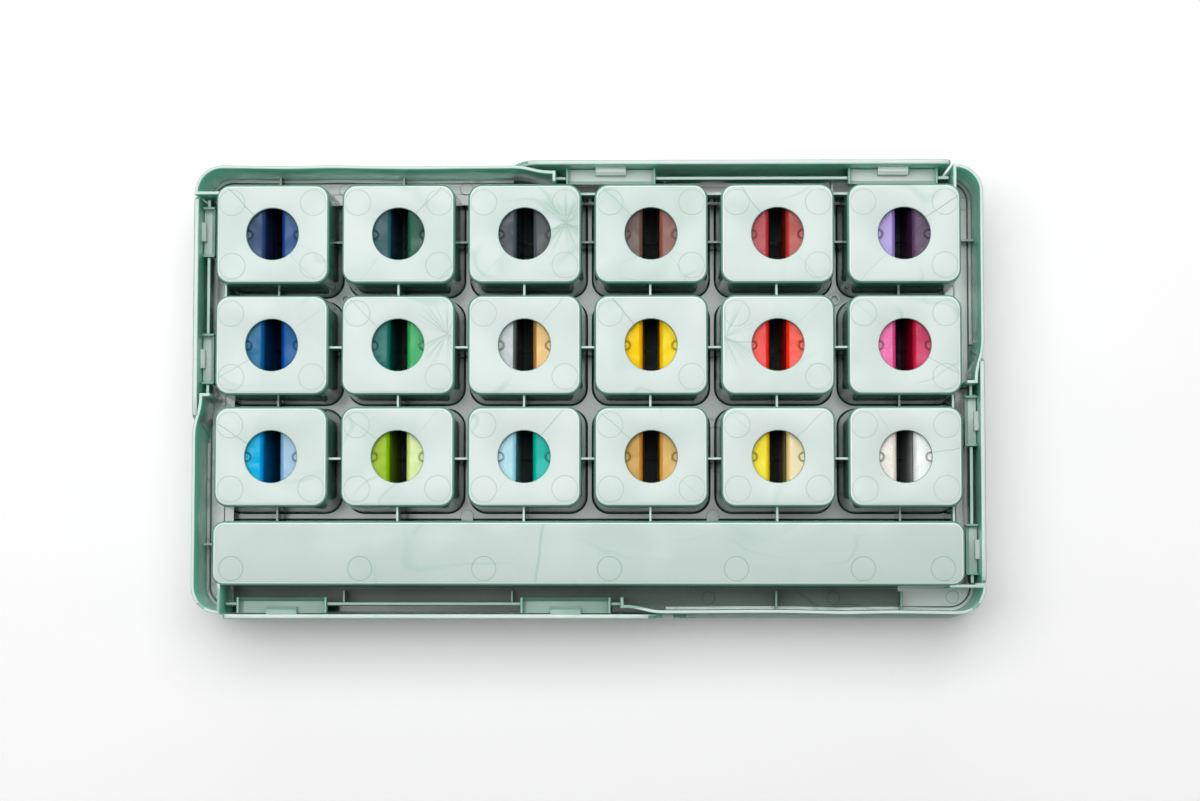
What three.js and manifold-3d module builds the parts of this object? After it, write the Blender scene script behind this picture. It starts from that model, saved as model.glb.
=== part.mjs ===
// Paint box with twin cups of paint, lying on its lid with its underside up.
//
// Pieces: the lid lies flat on its outer face at z = 0. The base tray stands on it upside
// down, so its deck is low and the bottoms of its wells point up. Each well holds one twin
// cup, which hangs by its flange on the lid side of the deck, and each half of a twin cup
// holds one fill of paint. The tray, the cups and the paint lift off the lid together.
//
// Units are millimetres. X runs along the box, Y across it with the brush trough on the
// -Y side, and Z up from the lid's outer face. The origin is under the box's centre.
// Half a turn about Z leaves the outer walls, flaps and latches as they are.

import * as THREE from 'three';
import { mergeVertices } from 'three/addons/utils/BufferGeometryUtils.js';
import Module from 'manifold-3d';

const wasm = await Module();
wasm.setup();

// The grid of wells. A well's sizes are its outer sizes where it leaves the deck.
const COLUMNS = 6;
const ROWS = 3;
const WELL_WIDE = 45.1;
const WELL_LONG = 40.0;
const WELL_TALL = 40.0;
const WELL_CORNER = 6.5;
const WELL_DRAFT = 1.3;
const WELL_WALL = 1.3;
const WELL_EDGE = 1.2;
const PAD_THICK = 1.6;
const FINGER_HOLE = 20.0;
const COLUMN_GAP = 2.4;
const ROW_GAP = 1.95;

// The brush trough along the -Y side.
const TROUGH_WIDE = 26.8;
const TROUGH_GAP = 2.7;
const TROUGH_END_GAP = 1.8;
const TROUGH_DRAFT = 1.45;
const TROUGH_CORNER = 6.0;
const TROUGH_WALL = 1.5;
const TROUGH_EDGE = 1.2;

// The tray's deck, inner wall, shoulder and outer wall.
const SIDE_GAP = 2.5;
const TOP_GAP = 1.9;
const BOTTOM_GAP = 4.9;
const DECK_THICK = 1.6;
const INNER_WALL = 1.2;
const INNER_CORNER = 7.5;
const RIDGE_RISE = 1.5;
const LATCH_WALL_DROP = 11.0;
const SHOULDER_RISE = 6.3;
const SHOULDER_THICK = 1.6;
const OUTER_WALL = 1.2;
const OUTER_GAP_X = 2.3;
const OUTER_GAP_Y = 2.0;
const OUTER_CORNER = 10.5;
const RIM_DROP = 1.0;
const WALL_BEND = 16.5;
const BEND_PAST_LONG_FLAP = 6.2;
const BEND_PAST_SHORT_FLAP = 6.9;

// The lid and its four flaps. A flap starts at its swept end and runs toward a corner. Its
// start is a share of half the box's size along that side, from the centre line.
const LID_THICK = 2.0;
const LID_EDGE = 1.0;
const LID_CORNER = 11.5;
const LID_MARGIN_X = 0.1;
const LID_MARGIN_Y = 1.8;
const SKIRT_WALL = 2.4;
const FLAP_WALL = 1.8;
const FLAP_END_GAP = 0.6;
const FLAP_END_SWEEP = 3.0;
const LONG_FLAP_START_SHARE = -0.1281;
const LONG_SWEEP = 22.0;
const SHORT_FLAP_START_SHARE = -0.1093;
const SHORT_SWEEP = 9.0;

// The latches: a pocket in the tray under a hook on the flap. Their places are the
// pockets' centres along the side, as shares of half the box's size along it.
const LONG_LATCH_SHARES = [0.0573, 0.7775];
const SHORT_LATCH_SHARES = [0.1401, 0.7126];
const LONG_POCKET = 34.0;
const SHORT_POCKET = 19.2;
const POCKET_BACK = 1.8;
const POCKET_LIP = 1.5;
const POCKET_LIP_RISE = 2.6;
const POCKET_FLOOR = 1.6;
const POCKET_DROP = 2.0;
const POCKET_RIB = 0.9;
const POCKET_RIB_RISE = 3.6;
const LONG_HOOK = 11.6;
const SHORT_HOOK = 7.3;
const HOOK_RUN = 0.4;
const HOOK_TALL = 4.2;
const HOOK_SLOPE = 1.2;
const HOOK_SIDE_GAP = 0.8;

// Ribs, webs and screw bosses between the wells and the walls. The latch wall's ribs have
// their places along it as shares of half the box's length.
const RIB = 0.9;
const LOW_RIB_DROP = 22.0;
const TALL_RIB_DROP = 4.5;
const RIB_ASIDE_X = 0.3;
const RIB_ASIDE_Y = 0.55;
const LATCH_WALL_RIB_SHARES = [0.1969, 0.6285];
const WEB = 1.0;
const WEB_DROP = 8.0;
const WEB_INSET = 3.4;
const BOSS = 4.8;
const BOSS_BORE = 2.2;
const BOSS_RISE = 0.8;
const DISC = 5.2;
const DISC_RISE = 0.5;

// The twin cups and their paint. A cup's sizes are its outer sizes at the mouth.
const CUP_WIDE = 15.6;
const CUP_SPLIT = 3.4;
const CUP_GAP_Y = 1.2;
const CUP_DRAFT = 1.2;
const CUP_CORNER = 4.0;
const CUP_EDGE = 1.0;
const CUP_WALL = 0.8;
const CUP_FLANGE = 0.8;
const CUP_FLANGE_LAP = 0.75;
const CUP_FLANGE_CORNER = 7.0;
const CUP_HEADROOM = 1.3;
const CUP_BOTTOM_GAP = 1.2;
const CUP_WEB = 0.8;
const CUP_WEB_TALL = 20.0;
const PAINT_HEADROOM = 2.0;

// The gap between faces that meet, how far joined solids reach into each other, and how
// far a cutter runs past what it cuts.
const TOUCH = 0.3;
const BITE = 0.4;
const OVERRUN = 1.0;

const WELL_STEPS = 2;
const CUP_STEPS = 2;
const WALL_STEPS = 5;
const BEND_STEPS = 5;
const SWEEP_STEPS = 8;
const HOLE_SIDES = 20;
const BOSS_SIDES = 12;

// Levels, from the lid up.
const flangeLow = LID_THICK + CUP_HEADROOM;
const flangeHigh = flangeLow + CUP_FLANGE;
const deckLow = flangeHigh + TOUCH;
const deckHigh = deckLow + DECK_THICK;
const shoulderLow = deckHigh + SHOULDER_RISE;
const shoulderHigh = shoulderLow + SHOULDER_THICK;
const skirtRim = shoulderLow - TOUCH;
const padFace = deckHigh + WELL_TALL;
const padInside = padFace - PAD_THICK;
const outerRim = padFace - RIM_DROP;
const latchWallRim = padFace - LATCH_WALL_DROP;
const pocketHigh = latchWallRim - POCKET_DROP;
const pocketLow = pocketHigh - POCKET_FLOOR;
const cupBottom = padInside - CUP_BOTTOM_GAP;

// Half sizes of the plan, from the wells out.
const columnPitch = WELL_WIDE + COLUMN_GAP;
const rowPitch = WELL_LONG + ROW_GAP;
const rowsLong = ROWS * rowPitch - ROW_GAP;
const innerHalfX = (COLUMNS * columnPitch - COLUMN_GAP) / 2 + SIDE_GAP;
const innerHalfY = (TOP_GAP + rowsLong + TROUGH_GAP + TROUGH_WIDE + BOTTOM_GAP) / 2;
const wallHalfX = innerHalfX + INNER_WALL;
const wallHalfY = innerHalfY + INNER_WALL;
const outerHalfX = wallHalfX + OUTER_GAP_X + OUTER_WALL;
const outerHalfY = wallHalfY + OUTER_GAP_Y + OUTER_WALL;
const lidHalfX = outerHalfX + LID_MARGIN_X;
const lidHalfY = outerHalfY + LID_MARGIN_Y;
const middleX = outerHalfX - OUTER_WALL / 2;
const middleY = outerHalfY - OUTER_WALL / 2;
const middleCorner = OUTER_CORNER - OUTER_WALL / 2;
const troughY = -innerHalfY + BOTTOM_GAP + TROUGH_WIDE / 2;
const troughHalfX = innerHalfX - TROUGH_END_GAP;

const columnX = (column) => (column - (COLUMNS - 1) / 2) * columnPitch;
const rowY = (row) => innerHalfY - TOP_GAP - WELL_LONG / 2 - row * rowPitch;
const columns = Array.from({ length: COLUMNS }, (_, column) => column);
const rows = Array.from({ length: ROWS }, (_, row) => row);
const cells = rows.flatMap((row) => columns.map((column) => ({ row, column })));

// The long side at +Y and the short side at +X. Each has a direction along it, away from
// its flap's swept end, and one that points out of the box. The other two sides are these
// turned half a turn.
const UP = new THREE.Vector3(0, 0, 1);
const longFlapStart = LONG_FLAP_START_SHARE * outerHalfX;
const shortFlapStart = SHORT_FLAP_START_SHARE * outerHalfY;
const LONG_SIDE = {
  along: new THREE.Vector3(1, 0, 0),
  out: new THREE.Vector3(0, 1, 0),
  innerHalf: innerHalfY,
  wallHalf: wallHalfY,
  lidHalf: lidHalfY,
  flapStart: longFlapStart,
  flapEnd: outerHalfX - OUTER_CORNER - OUTER_WALL / 2 - FLAP_END_GAP,
  sweep: LONG_SWEEP,
  bendEnd: longFlapStart + BEND_PAST_LONG_FLAP,
  latches: LONG_LATCH_SHARES.map((share) => share * outerHalfX),
  pocket: LONG_POCKET,
  hook: LONG_HOOK,
};
const SHORT_SIDE = {
  along: new THREE.Vector3(0, -1, 0),
  out: new THREE.Vector3(1, 0, 0),
  innerHalf: innerHalfX,
  wallHalf: wallHalfX,
  lidHalf: lidHalfX,
  flapStart: shortFlapStart,
  flapEnd: outerHalfY - OUTER_CORNER - OUTER_WALL / 2 - FLAP_END_GAP,
  sweep: SHORT_SWEEP,
  bendEnd: shortFlapStart + BEND_PAST_SHORT_FLAP,
  latches: SHORT_LATCH_SHARES.map((share) => share * outerHalfY),
  pocket: SHORT_POCKET,
  hook: SHORT_HOOK,
};
const SIDES = [LONG_SIDE, SHORT_SIDE];
const latches = SIDES.flatMap((side) => side.latches.map((centre) => ({ side, centre })));
const flapInside = (side) => side.lidHalf - FLAP_WALL;

// A geometry becomes a solid once its shared corners are merged.
const toSolid = (geometry) => {
  geometry.deleteAttribute('normal');
  geometry.deleteAttribute('uv');
  const merged = mergeVertices(geometry);
  return new wasm.Manifold(new wasm.Mesh({
    numProp: 3,
    vertProperties: new Float32Array(merged.attributes.position.array),
    triVerts: new Uint32Array(merged.index.array),
  }));
};

const toMesh = (name, solid, material) => {
  const { vertProperties, triVerts } = solid.asOriginal().getMesh();
  const shared = new THREE.BufferGeometry();
  shared.setAttribute('position', new THREE.BufferAttribute(vertProperties, 3));
  shared.setIndex(new THREE.BufferAttribute(triVerts, 1));
  const geometry = shared.toNonIndexed();
  geometry.computeVertexNormals();
  const mesh = new THREE.Mesh(geometry, material);
  mesh.name = name;
  return mesh;
};

const join = (solids) => solids.reduce((whole, solid) => whole.add(solid));
const cut = (solid, cutters) => cutters.reduce((left, cutter) => left.subtract(cutter), solid);
const bothWays = (solids) => solids.flatMap((solid) => [solid, solid.rotate([0, 0, 180])]);

// A rounded rectangle around the origin, counter-clockwise.
const outline = (width, depth, corner, steps) => {
  const quarters = [[1, 1], [-1, 1], [-1, -1], [1, -1]];
  return quarters.flatMap(([sideX, sideY], quarter) => (
    Array.from({ length: steps + 1 }, (_, step) => {
      const angle = (quarter + step / steps) * Math.PI / 2;
      const x = sideX * (width / 2 - corner) + corner * Math.cos(angle);
      const y = sideY * (depth / 2 - corner) + corner * Math.sin(angle);
      return new THREE.Vector2(x, y);
    })
  ));
};

// A closed body through level rings that all have the same number of points.
const throughRings = (rings) => {
  const count = rings[0].points.length;
  const positions = rings.flatMap(({ points, z }) => points.flatMap((point) => [point.x, point.y, z]));
  const faces = [];
  for (let ring = 0; ring + 1 < rings.length; ring += 1) {
    for (let side = 0; side < count; side += 1) {
      const here = ring * count + side;
      const next = ring * count + (side + 1) % count;
      faces.push(here, next, next + count);
      faces.push(here, next + count, here + count);
    }
  }
  const last = (rings.length - 1) * count;
  THREE.ShapeUtils.triangulateShape(rings[0].points, []).forEach(([a, b, c]) => {
    faces.push(a, c, b);
    faces.push(last + a, last + b, last + c);
  });
  const geometry = new THREE.BufferGeometry();
  geometry.setAttribute('position', new THREE.Float32BufferAttribute(positions, 3));
  geometry.setIndex(faces);
  return toSolid(geometry);
};

// A block with rounded upright corners. It narrows by draft on each side on its way up,
// and a chamfer of the size of edge takes off its top edge, or its foot if it has one.
const block = ({ width, depth, corner, low, high, draft = 0, edge = 0, foot = 0, steps }) => {
  const ring = (z, inset) => {
    const lean = draft * (z - low) / (high - low) + inset;
    return { z, points: outline(width - 2 * lean, depth - 2 * lean, corner - inset, steps) };
  };
  const footRings = foot > 0 ? [ring(low, foot), ring(low + foot, 0)] : [ring(low, 0)];
  const edgeRings = edge > 0 ? [ring(high - edge, 0), ring(high, edge)] : [ring(high, 0)];
  return throughRings([...footRings, ...edgeRings]);
};

// Walls of a block that is open at both ends.
const tube = ({ halfX, halfY, wall, corner, low, high, steps }) => {
  const outside = block({ width: 2 * halfX, depth: 2 * halfY, corner, low, high, steps });
  const inside = block({
    width: 2 * (halfX - wall),
    depth: 2 * (halfY - wall),
    corner: corner - wall,
    low: low - OVERRUN,
    high: high + OVERRUN,
    steps,
  });
  return outside.subtract(inside);
};

const box = ([x0, x1], [y0, y1], [z0, z1]) => {
  const geometry = new THREE.BoxGeometry(x1 - x0, y1 - y0, z1 - z0);
  geometry.translate((x0 + x1) / 2, (y0 + y1) / 2, (z0 + z1) / 2);
  return toSolid(geometry);
};

const post = (diameter, low, high, sides) => {
  const geometry = new THREE.CylinderGeometry(diameter / 2, diameter / 2, high - low, sides);
  geometry.rotateX(Math.PI / 2);
  geometry.translate(0, 0, (low + high) / 2);
  return toSolid(geometry);
};

// A cross-section (distance out, height) run along a side from one place to another.
const runAlong = (side, section, from, to) => {
  const geometry = new THREE.ExtrudeGeometry(section, { depth: to - from, bevelEnabled: false });
  geometry.applyMatrix4(new THREE.Matrix4().makeBasis(side.out, UP, side.along));
  geometry.translate(...side.along.clone().multiplyScalar(from).toArray());
  return toSolid(geometry);
};

// An elevation (place along the side, height) made into a panel of even thickness.
const panel = (side, elevation, outer, thickness) => {
  const options = { depth: thickness, bevelEnabled: false, curveSegments: SWEEP_STEPS };
  const geometry = new THREE.ExtrudeGeometry(elevation, options);
  const inward = side.out.clone().negate();
  geometry.applyMatrix4(new THREE.Matrix4().makeBasis(side.along, UP, inward));
  geometry.translate(...side.out.clone().multiplyScalar(outer).toArray());
  return toSolid(geometry);
};

const sideBox = (side, [s0, s1], [u0, u1], [z0, z1]) => {
  const corners = [[u0, z0], [u1, z0], [u1, z1], [u0, z1]];
  return runAlong(side, new THREE.Shape(corners.map(([u, z]) => new THREE.Vector2(u, z))), s0, s1);
};

// An upright wall of even thickness, given by its middle line in plan.
const standingWall = (path, thickness, low, high) => {
  const line = path.getPoints(BEND_STEPS);
  const middle = line.filter((point, i) => i === 0 || point.distanceTo(line[i - 1]) > TOUCH);
  const offsets = middle.map((point, i) => {
    const arriving = point.clone().sub(middle[Math.max(i - 1, 0)]).normalize();
    const leaving = middle[Math.min(i + 1, middle.length - 1)].clone().sub(point).normalize();
    const along = arriving.clone().add(leaving).normalize();
    const mitre = along.dot(i === 0 ? leaving : arriving);
    return new THREE.Vector2(along.y, -along.x).multiplyScalar(thickness / 2 / mitre);
  });
  const right = middle.map((point, i) => point.clone().add(offsets[i]));
  const left = middle.map((point, i) => point.clone().sub(offsets[i]));
  const shape = new THREE.Shape([...right, ...left.reverse()]);
  const geometry = new THREE.ExtrudeGeometry(shape, { depth: high - low, bevelEnabled: false });
  geometry.translate(0, 0, low);
  return toSolid(geometry);
};

// The base tray's wells and trough, as shells and as the hollows cut out of them later.
const insideDeck = deckLow + BITE;
const wellShell = {
  width: WELL_WIDE,
  depth: WELL_LONG,
  corner: WELL_CORNER,
  low: insideDeck,
  high: padFace,
  draft: WELL_DRAFT,
  edge: WELL_EDGE,
  steps: WELL_STEPS,
};
const wellHollow = {
  width: WELL_WIDE - 2 * WELL_WALL,
  depth: WELL_LONG - 2 * WELL_WALL,
  corner: WELL_CORNER - WELL_WALL,
  low: deckLow - OVERRUN,
  high: padInside,
  draft: WELL_DRAFT,
  steps: WELL_STEPS,
};
const troughShell = {
  width: 2 * troughHalfX,
  depth: TROUGH_WIDE,
  corner: TROUGH_CORNER,
  low: insideDeck,
  high: padFace,
  draft: TROUGH_DRAFT,
  edge: TROUGH_EDGE,
  steps: WELL_STEPS,
};
const troughHollow = {
  width: 2 * (troughHalfX - TROUGH_WALL),
  depth: TROUGH_WIDE - 2 * TROUGH_WALL,
  corner: TROUGH_CORNER - TROUGH_WALL,
  low: deckLow - OVERRUN,
  high: padInside,
  draft: TROUGH_DRAFT,
  steps: WELL_STEPS,
};
const inEachWell = (solid) => cells.map(({ row, column }) => (
  solid.translate([columnX(column), rowY(row), 0])
));

const shells = () => {
  const trough = block(troughShell).translate([0, troughY, 0]);
  return [...inEachWell(block(wellShell)), trough];
};

const hollows = () => {
  const fingerHole = post(FINGER_HOLE, padInside - OVERRUN, padFace + OVERRUN, HOLE_SIDES);
  const trough = block(troughHollow).translate([0, troughY, 0]);
  return [...inEachWell(block(wellHollow).add(fingerHole)), trough];
};

// The deck plate with the low inner wall round it.
const deck = () => {
  const plate = block({
    width: 2 * innerHalfX + INNER_WALL,
    depth: 2 * innerHalfY + INNER_WALL,
    corner: INNER_CORNER,
    low: deckLow,
    high: deckHigh,
    steps: WELL_STEPS,
  });
  const wall = {
    halfX: wallHalfX,
    halfY: wallHalfY,
    wall: INNER_WALL,
    corner: INNER_CORNER + INNER_WALL,
    steps: WELL_STEPS,
  };
  const ridge = tube({ ...wall, low: deckLow, high: shoulderHigh + RIDGE_RISE });
  const tall = tube({ ...wall, low: shoulderLow, high: latchWallRim });
  const behindFlaps = bothWays(SIDES.map((side) => (
    sideBox(side, [side.bendEnd, side.flapEnd], [side.innerHalf - OVERRUN, side.lidHalf], [0, padFace])
  )));
  return [plate, ridge, tall.intersect(join(behindFlaps))];
};

// The shoulder stands on the lid's skirt and carries the outer wall. It has a notch at each
// latch, so that the hook passes it when the tray is lifted.
const hookSpan = (side, centre, gap) => [centre - side.hook / 2 - gap, centre + side.hook / 2 + gap];
const notch = (side, centre) => {
  const across = [side.wallHalf - INNER_WALL / 4, side.lidHalf];
  return sideBox(side, hookSpan(side, centre, HOOK_SIDE_GAP), across, [0, padFace]);
};

const shoulder = () => {
  const ring = tube({
    halfX: middleX,
    halfY: middleY,
    wall: middleY - innerHalfY - INNER_WALL / 2,
    corner: middleCorner,
    low: shoulderLow,
    high: shoulderHigh,
    steps: WALL_STEPS,
  });
  return cut(ring, bothWays(latches.map(({ side, centre }) => notch(side, centre))));
};

// The outer wall is in four stretches, one round each corner. A stretch starts square at
// the near end of one flap and ends in a bend that passes behind the next flap's swept
// end. Both ends turn in to the inner wall and on to the wells.
const topLeftWall = () => {
  const arcX = -middleX + middleCorner;
  const arcY = middleY - middleCorner;
  const landing = wallHalfY + BITE;
  const bendEnd = LONG_SIDE.bendEnd;
  const bendStart = bendEnd - WALL_BEND;
  const bendMiddle = (bendStart + bendEnd) / 2;
  const path = new THREE.Path();
  path.moveTo(-innerHalfX + SIDE_GAP + WELL_CORNER, arcY);
  path.lineTo(-middleX, arcY);
  path.absarc(arcX, arcY, middleCorner, Math.PI, Math.PI / 2, true);
  path.lineTo(bendStart, middleY);
  path.bezierCurveTo(bendMiddle, middleY, bendMiddle, landing, bendEnd, landing);
  path.lineTo(bendEnd, innerHalfY - POCKET_BACK);
  return standingWall(path, OUTER_WALL, shoulderLow, outerRim);
};

const topRightWall = () => {
  const arcX = middleX - middleCorner;
  const arcY = middleY - middleCorner;
  const landing = wallHalfX + BITE;
  const bendEnd = -SHORT_SIDE.bendEnd;
  const bendStart = bendEnd + WALL_BEND;
  const bendMiddle = (bendStart + bendEnd) / 2;
  const path = new THREE.Path();
  path.moveTo(arcX, innerHalfY - TOP_GAP - WELL_CORNER);
  path.lineTo(arcX, middleY);
  path.absarc(arcX, arcY, middleCorner, Math.PI / 2, 0, true);
  path.lineTo(middleX, bendStart);
  path.bezierCurveTo(middleX, bendMiddle, landing, bendMiddle, landing, bendEnd);
  path.lineTo(innerHalfX - POCKET_BACK, bendEnd);
  return standingWall(path, OUTER_WALL, shoulderLow, outerRim);
};

// A latch pocket: a floor across the inner wall, a sloped lip at its back and a rib at
// each end. Its floor reaches out to the flap, and the hook stands over it.
const pocketSpan = (side, centre) => [centre - side.pocket / 2, centre + side.pocket / 2];
const pocketBack = (side) => side.innerHalf - POCKET_BACK;
const pocketFront = (side) => flapInside(side) - TOUCH;

const pocket = (side, centre) => {
  const [from, to] = pocketSpan(side, centre);
  const back = pocketBack(side);
  const front = pocketFront(side);
  const section = new THREE.Shape();
  section.moveTo(back, pocketLow);
  section.lineTo(front, pocketLow);
  section.lineTo(front, pocketHigh);
  section.lineTo(back + POCKET_LIP, pocketHigh);
  section.lineTo(back, pocketHigh + POCKET_LIP_RISE);
  const ribZ = [pocketLow, pocketHigh + POCKET_RIB_RISE];
  return join([
    runAlong(side, section, from, to),
    sideBox(side, [from, from + POCKET_RIB], [back, front], ribZ),
    sideBox(side, [to - POCKET_RIB, to], [back, front], ribZ),
  ]);
};

const aboveInnerWall = (side, centre) => (
  sideBox(side, pocketSpan(side, centre), [pocketBack(side), side.lidHalf], [pocketHigh, padFace])
);

// Ribs run near the middle of each column and each row, from the walls to the far wells,
// and only what is left of them between the wells stays when the wells are hollowed. They
// are low over the first row and the two end columns, and tall over the rest.
const ribs = () => {
  const ribZ = [insideDeck, padFace - LOW_RIB_DROP];
  const tallRibZ = [insideDeck, padFace - TALL_RIB_DROP];
  const outerRibZ = [shoulderLow, padFace - LOW_RIB_DROP];
  const band = (at) => [at - RIB / 2, at + RIB / 2];
  const alongRows = rows.map((row) => (
    box([columnX(0), columnX(COLUMNS - 1)], band(rowY(row) - RIB_ASIDE_Y), row > 0 ? tallRibZ : ribZ)
  ));
  const atAnEnd = (column) => column === 0 || column === COLUMNS - 1;
  const alongColumns = columns.map((column) => (
    box(band(columnX(column) - RIB_ASIDE_X), [troughY, rowY(0)], atAnEnd(column) ? ribZ : tallRibZ)
  ));
  const cornerColumns = columns.slice(0, 2).map((column) => (
    box(band(columnX(column)), [rowY(0), middleY], outerRibZ)
  ));
  const cornerRow = box([columnX(COLUMNS - 1), middleX], band(rowY(0)), outerRibZ);
  const latchWall = LATCH_WALL_RIB_SHARES.map((share) => (
    box(band(share * outerHalfX), [rowY(0), wallHalfY], ribZ)
  ));
  return [...alongRows, ...alongColumns, ...bothWays([...cornerColumns, cornerRow, ...latchWall])];
};

// Webs close some of the channels between the wells where they open behind a flap.
const webs = () => {
  const webZ = [insideDeck, padFace - WEB_DROP];
  const webY = innerHalfY - TOP_GAP - WEB_INSET;
  const webX = innerHalfX - SIDE_GAP - WEB_INSET;
  const far = COLUMNS - 1;
  return [
    box([columnX(far - 3), columnX(far)], [webY - WEB, webY], webZ),
    box([webX - WEB, webX], [troughY, rowY(1)], webZ),
    box([-webX, -webX + WEB], [rowY(1), rowY(0)], webZ),
  ];
};

// Where four wells meet near each end there is a boss, and two discs lie by the trough.
const bosses = () => {
  const y = (rowY(0) + rowY(1)) / 2;
  const x = (columnX(COLUMNS - 2) + columnX(COLUMNS - 1)) / 2;
  const high = deckHigh + BOSS_RISE;
  const boss = post(BOSS, insideDeck, high, BOSS_SIDES);
  const bore = post(BOSS_BORE, deckHigh, high + OVERRUN, BOSS_SIDES);
  const ring = boss.subtract(bore);
  return [ring.translate([x, y, 0]), ring.translate([-x, y, 0])];
};

const discs = () => {
  const y = rowY(ROWS - 1) - WELL_LONG / 2 - TROUGH_GAP / 2;
  const disc = post(DISC, insideDeck, deckHigh + DISC_RISE, BOSS_SIDES);
  return [disc.translate([columnPitch, y, 0]), disc.translate([-columnPitch, y, 0])];
};

// A flap in elevation. Its top edge is level, and sweeps down to the skirt at both ends.
const flapElevation = (side, low, clearance) => {
  const top = outerRim + clearance;
  const foot = skirtRim + clearance;
  const start = side.flapStart - clearance;
  const tail = start - side.sweep;
  const bend = start - side.sweep / 2;
  const end = side.flapEnd + clearance;
  const shape = new THREE.Shape();
  shape.moveTo(tail, low);
  shape.lineTo(end, low);
  shape.lineTo(end, top - FLAP_END_SWEEP);
  shape.quadraticCurveTo(end, top, end - FLAP_END_SWEEP, top);
  shape.lineTo(start, top);
  shape.bezierCurveTo(bend, top, bend, foot, tail, foot);
  return shape;
};

const flapRoom = (side) => {
  const outer = side.lidHalf + OVERRUN;
  const elevation = flapElevation(side, 0, TOUCH);
  return panel(side, elevation, outer, outer - flapInside(side) + TOUCH);
};

const baseTray = () => {
  const wallCuts = bothWays(latches.map(({ side, centre }) => aboveInnerWall(side, centre)));
  const frame = cut(join(deck()), wallCuts);
  const stretches = bothWays([topLeftWall(), topRightWall()]);
  const pockets = bothWays(latches.map(({ side, centre }) => pocket(side, centre)));
  const whole = join([
    frame,
    shoulder(),
    ...stretches,
    ...shells(),
    ...ribs(),
    ...webs(),
    ...bosses(),
    ...discs(),
    ...pockets,
  ]);
  return cut(whole, [...hollows(), ...bothWays(SIDES.map(flapRoom))]);
};

// The lid: a plate with a skirt, four flaps on the skirt and two hooks on each flap. A
// hook's tip runs past the outside of the inner wall and reaches over its pocket's floor.
const hook = (side, centre) => {
  const root = flapInside(side) + BITE;
  const tip = side.wallHalf + HOOK_RUN;
  const low = pocketHigh + TOUCH;
  const high = low + HOOK_TALL;
  const section = new THREE.Shape();
  section.moveTo(tip, low);
  section.lineTo(root, low);
  section.lineTo(root, high);
  section.lineTo(tip + HOOK_SLOPE, high);
  section.lineTo(tip, high - HOOK_SLOPE);
  return runAlong(side, section, ...hookSpan(side, centre, 0));
};

const lid = () => {
  const outside = block({
    width: 2 * lidHalfX,
    depth: 2 * lidHalfY,
    corner: LID_CORNER,
    low: 0,
    high: skirtRim,
    foot: LID_EDGE,
    steps: WALL_STEPS,
  });
  const inside = block({
    width: 2 * (lidHalfX - SKIRT_WALL),
    depth: 2 * (lidHalfY - SKIRT_WALL),
    corner: LID_CORNER - SKIRT_WALL,
    low: LID_THICK,
    high: skirtRim + OVERRUN,
    steps: WALL_STEPS,
  });
  const flaps = SIDES.map((side) => panel(side, flapElevation(side, LID_THICK, 0), side.lidHalf, FLAP_WALL));
  const hooks = latches.map(({ side, centre }) => hook(side, centre));
  return join([outside.subtract(inside), ...bothWays([...flaps, ...hooks])]);
};

// A twin cup: two cups side by side under one flange, with a web between them.
const cupOffset = (CUP_SPLIT + CUP_WIDE) / 2;
const cupLong = WELL_LONG - 2 * WELL_WALL - 2 * CUP_GAP_Y;
const cupShell = {
  width: CUP_WIDE,
  depth: cupLong,
  corner: CUP_CORNER,
  low: flangeLow,
  high: cupBottom,
  draft: CUP_DRAFT,
  edge: CUP_EDGE,
  steps: CUP_STEPS,
};
const inset = (shape, by, low, high) => ({
  ...shape,
  width: shape.width - 2 * by,
  depth: shape.depth - 2 * by,
  corner: shape.corner - by,
  edge: 0,
  low,
  high,
});

const twinCup = () => {
  const flange = block({
    width: WELL_WIDE + 2 * CUP_FLANGE_LAP,
    depth: WELL_LONG + 2 * CUP_FLANGE_LAP,
    corner: CUP_FLANGE_CORNER,
    low: flangeLow,
    high: flangeHigh,
    steps: WELL_STEPS,
  });
  const halfSplit = CUP_SPLIT / 2 + CUP_DRAFT + BITE;
  const webZ = [flangeLow, flangeHigh + CUP_WEB_TALL];
  const web = box([-halfSplit, halfSplit], [-CUP_WEB / 2, CUP_WEB / 2], webZ);
  const shell = block(cupShell);
  const hollow = block(inset(cupShell, CUP_WALL, flangeLow - OVERRUN, cupBottom - CUP_WALL));
  const besides = (solid) => [solid.translate([-cupOffset, 0, 0]), solid.translate([cupOffset, 0, 0])];
  return cut(join([flange, web, ...besides(shell)]), besides(hollow));
};

const paintFill = () => {
  const clearance = CUP_WALL + TOUCH;
  return block(inset(cupShell, clearance, flangeLow + PAINT_HEADROOM, cupBottom - clearance));
};

// Finishes.
const plastic = (color) => new THREE.MeshStandardMaterial({ color, roughness: 0.35, metalness: 0 });
const clearPlastic = () => new THREE.MeshStandardMaterial({
  color: '#eef3f2',
  roughness: 0.25,
  metalness: 0,
  transparent: true,
  opacity: 0.35,
});
const wetPaint = (color) => new THREE.MeshStandardMaterial({ color, roughness: 0.3, metalness: 0 });

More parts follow.
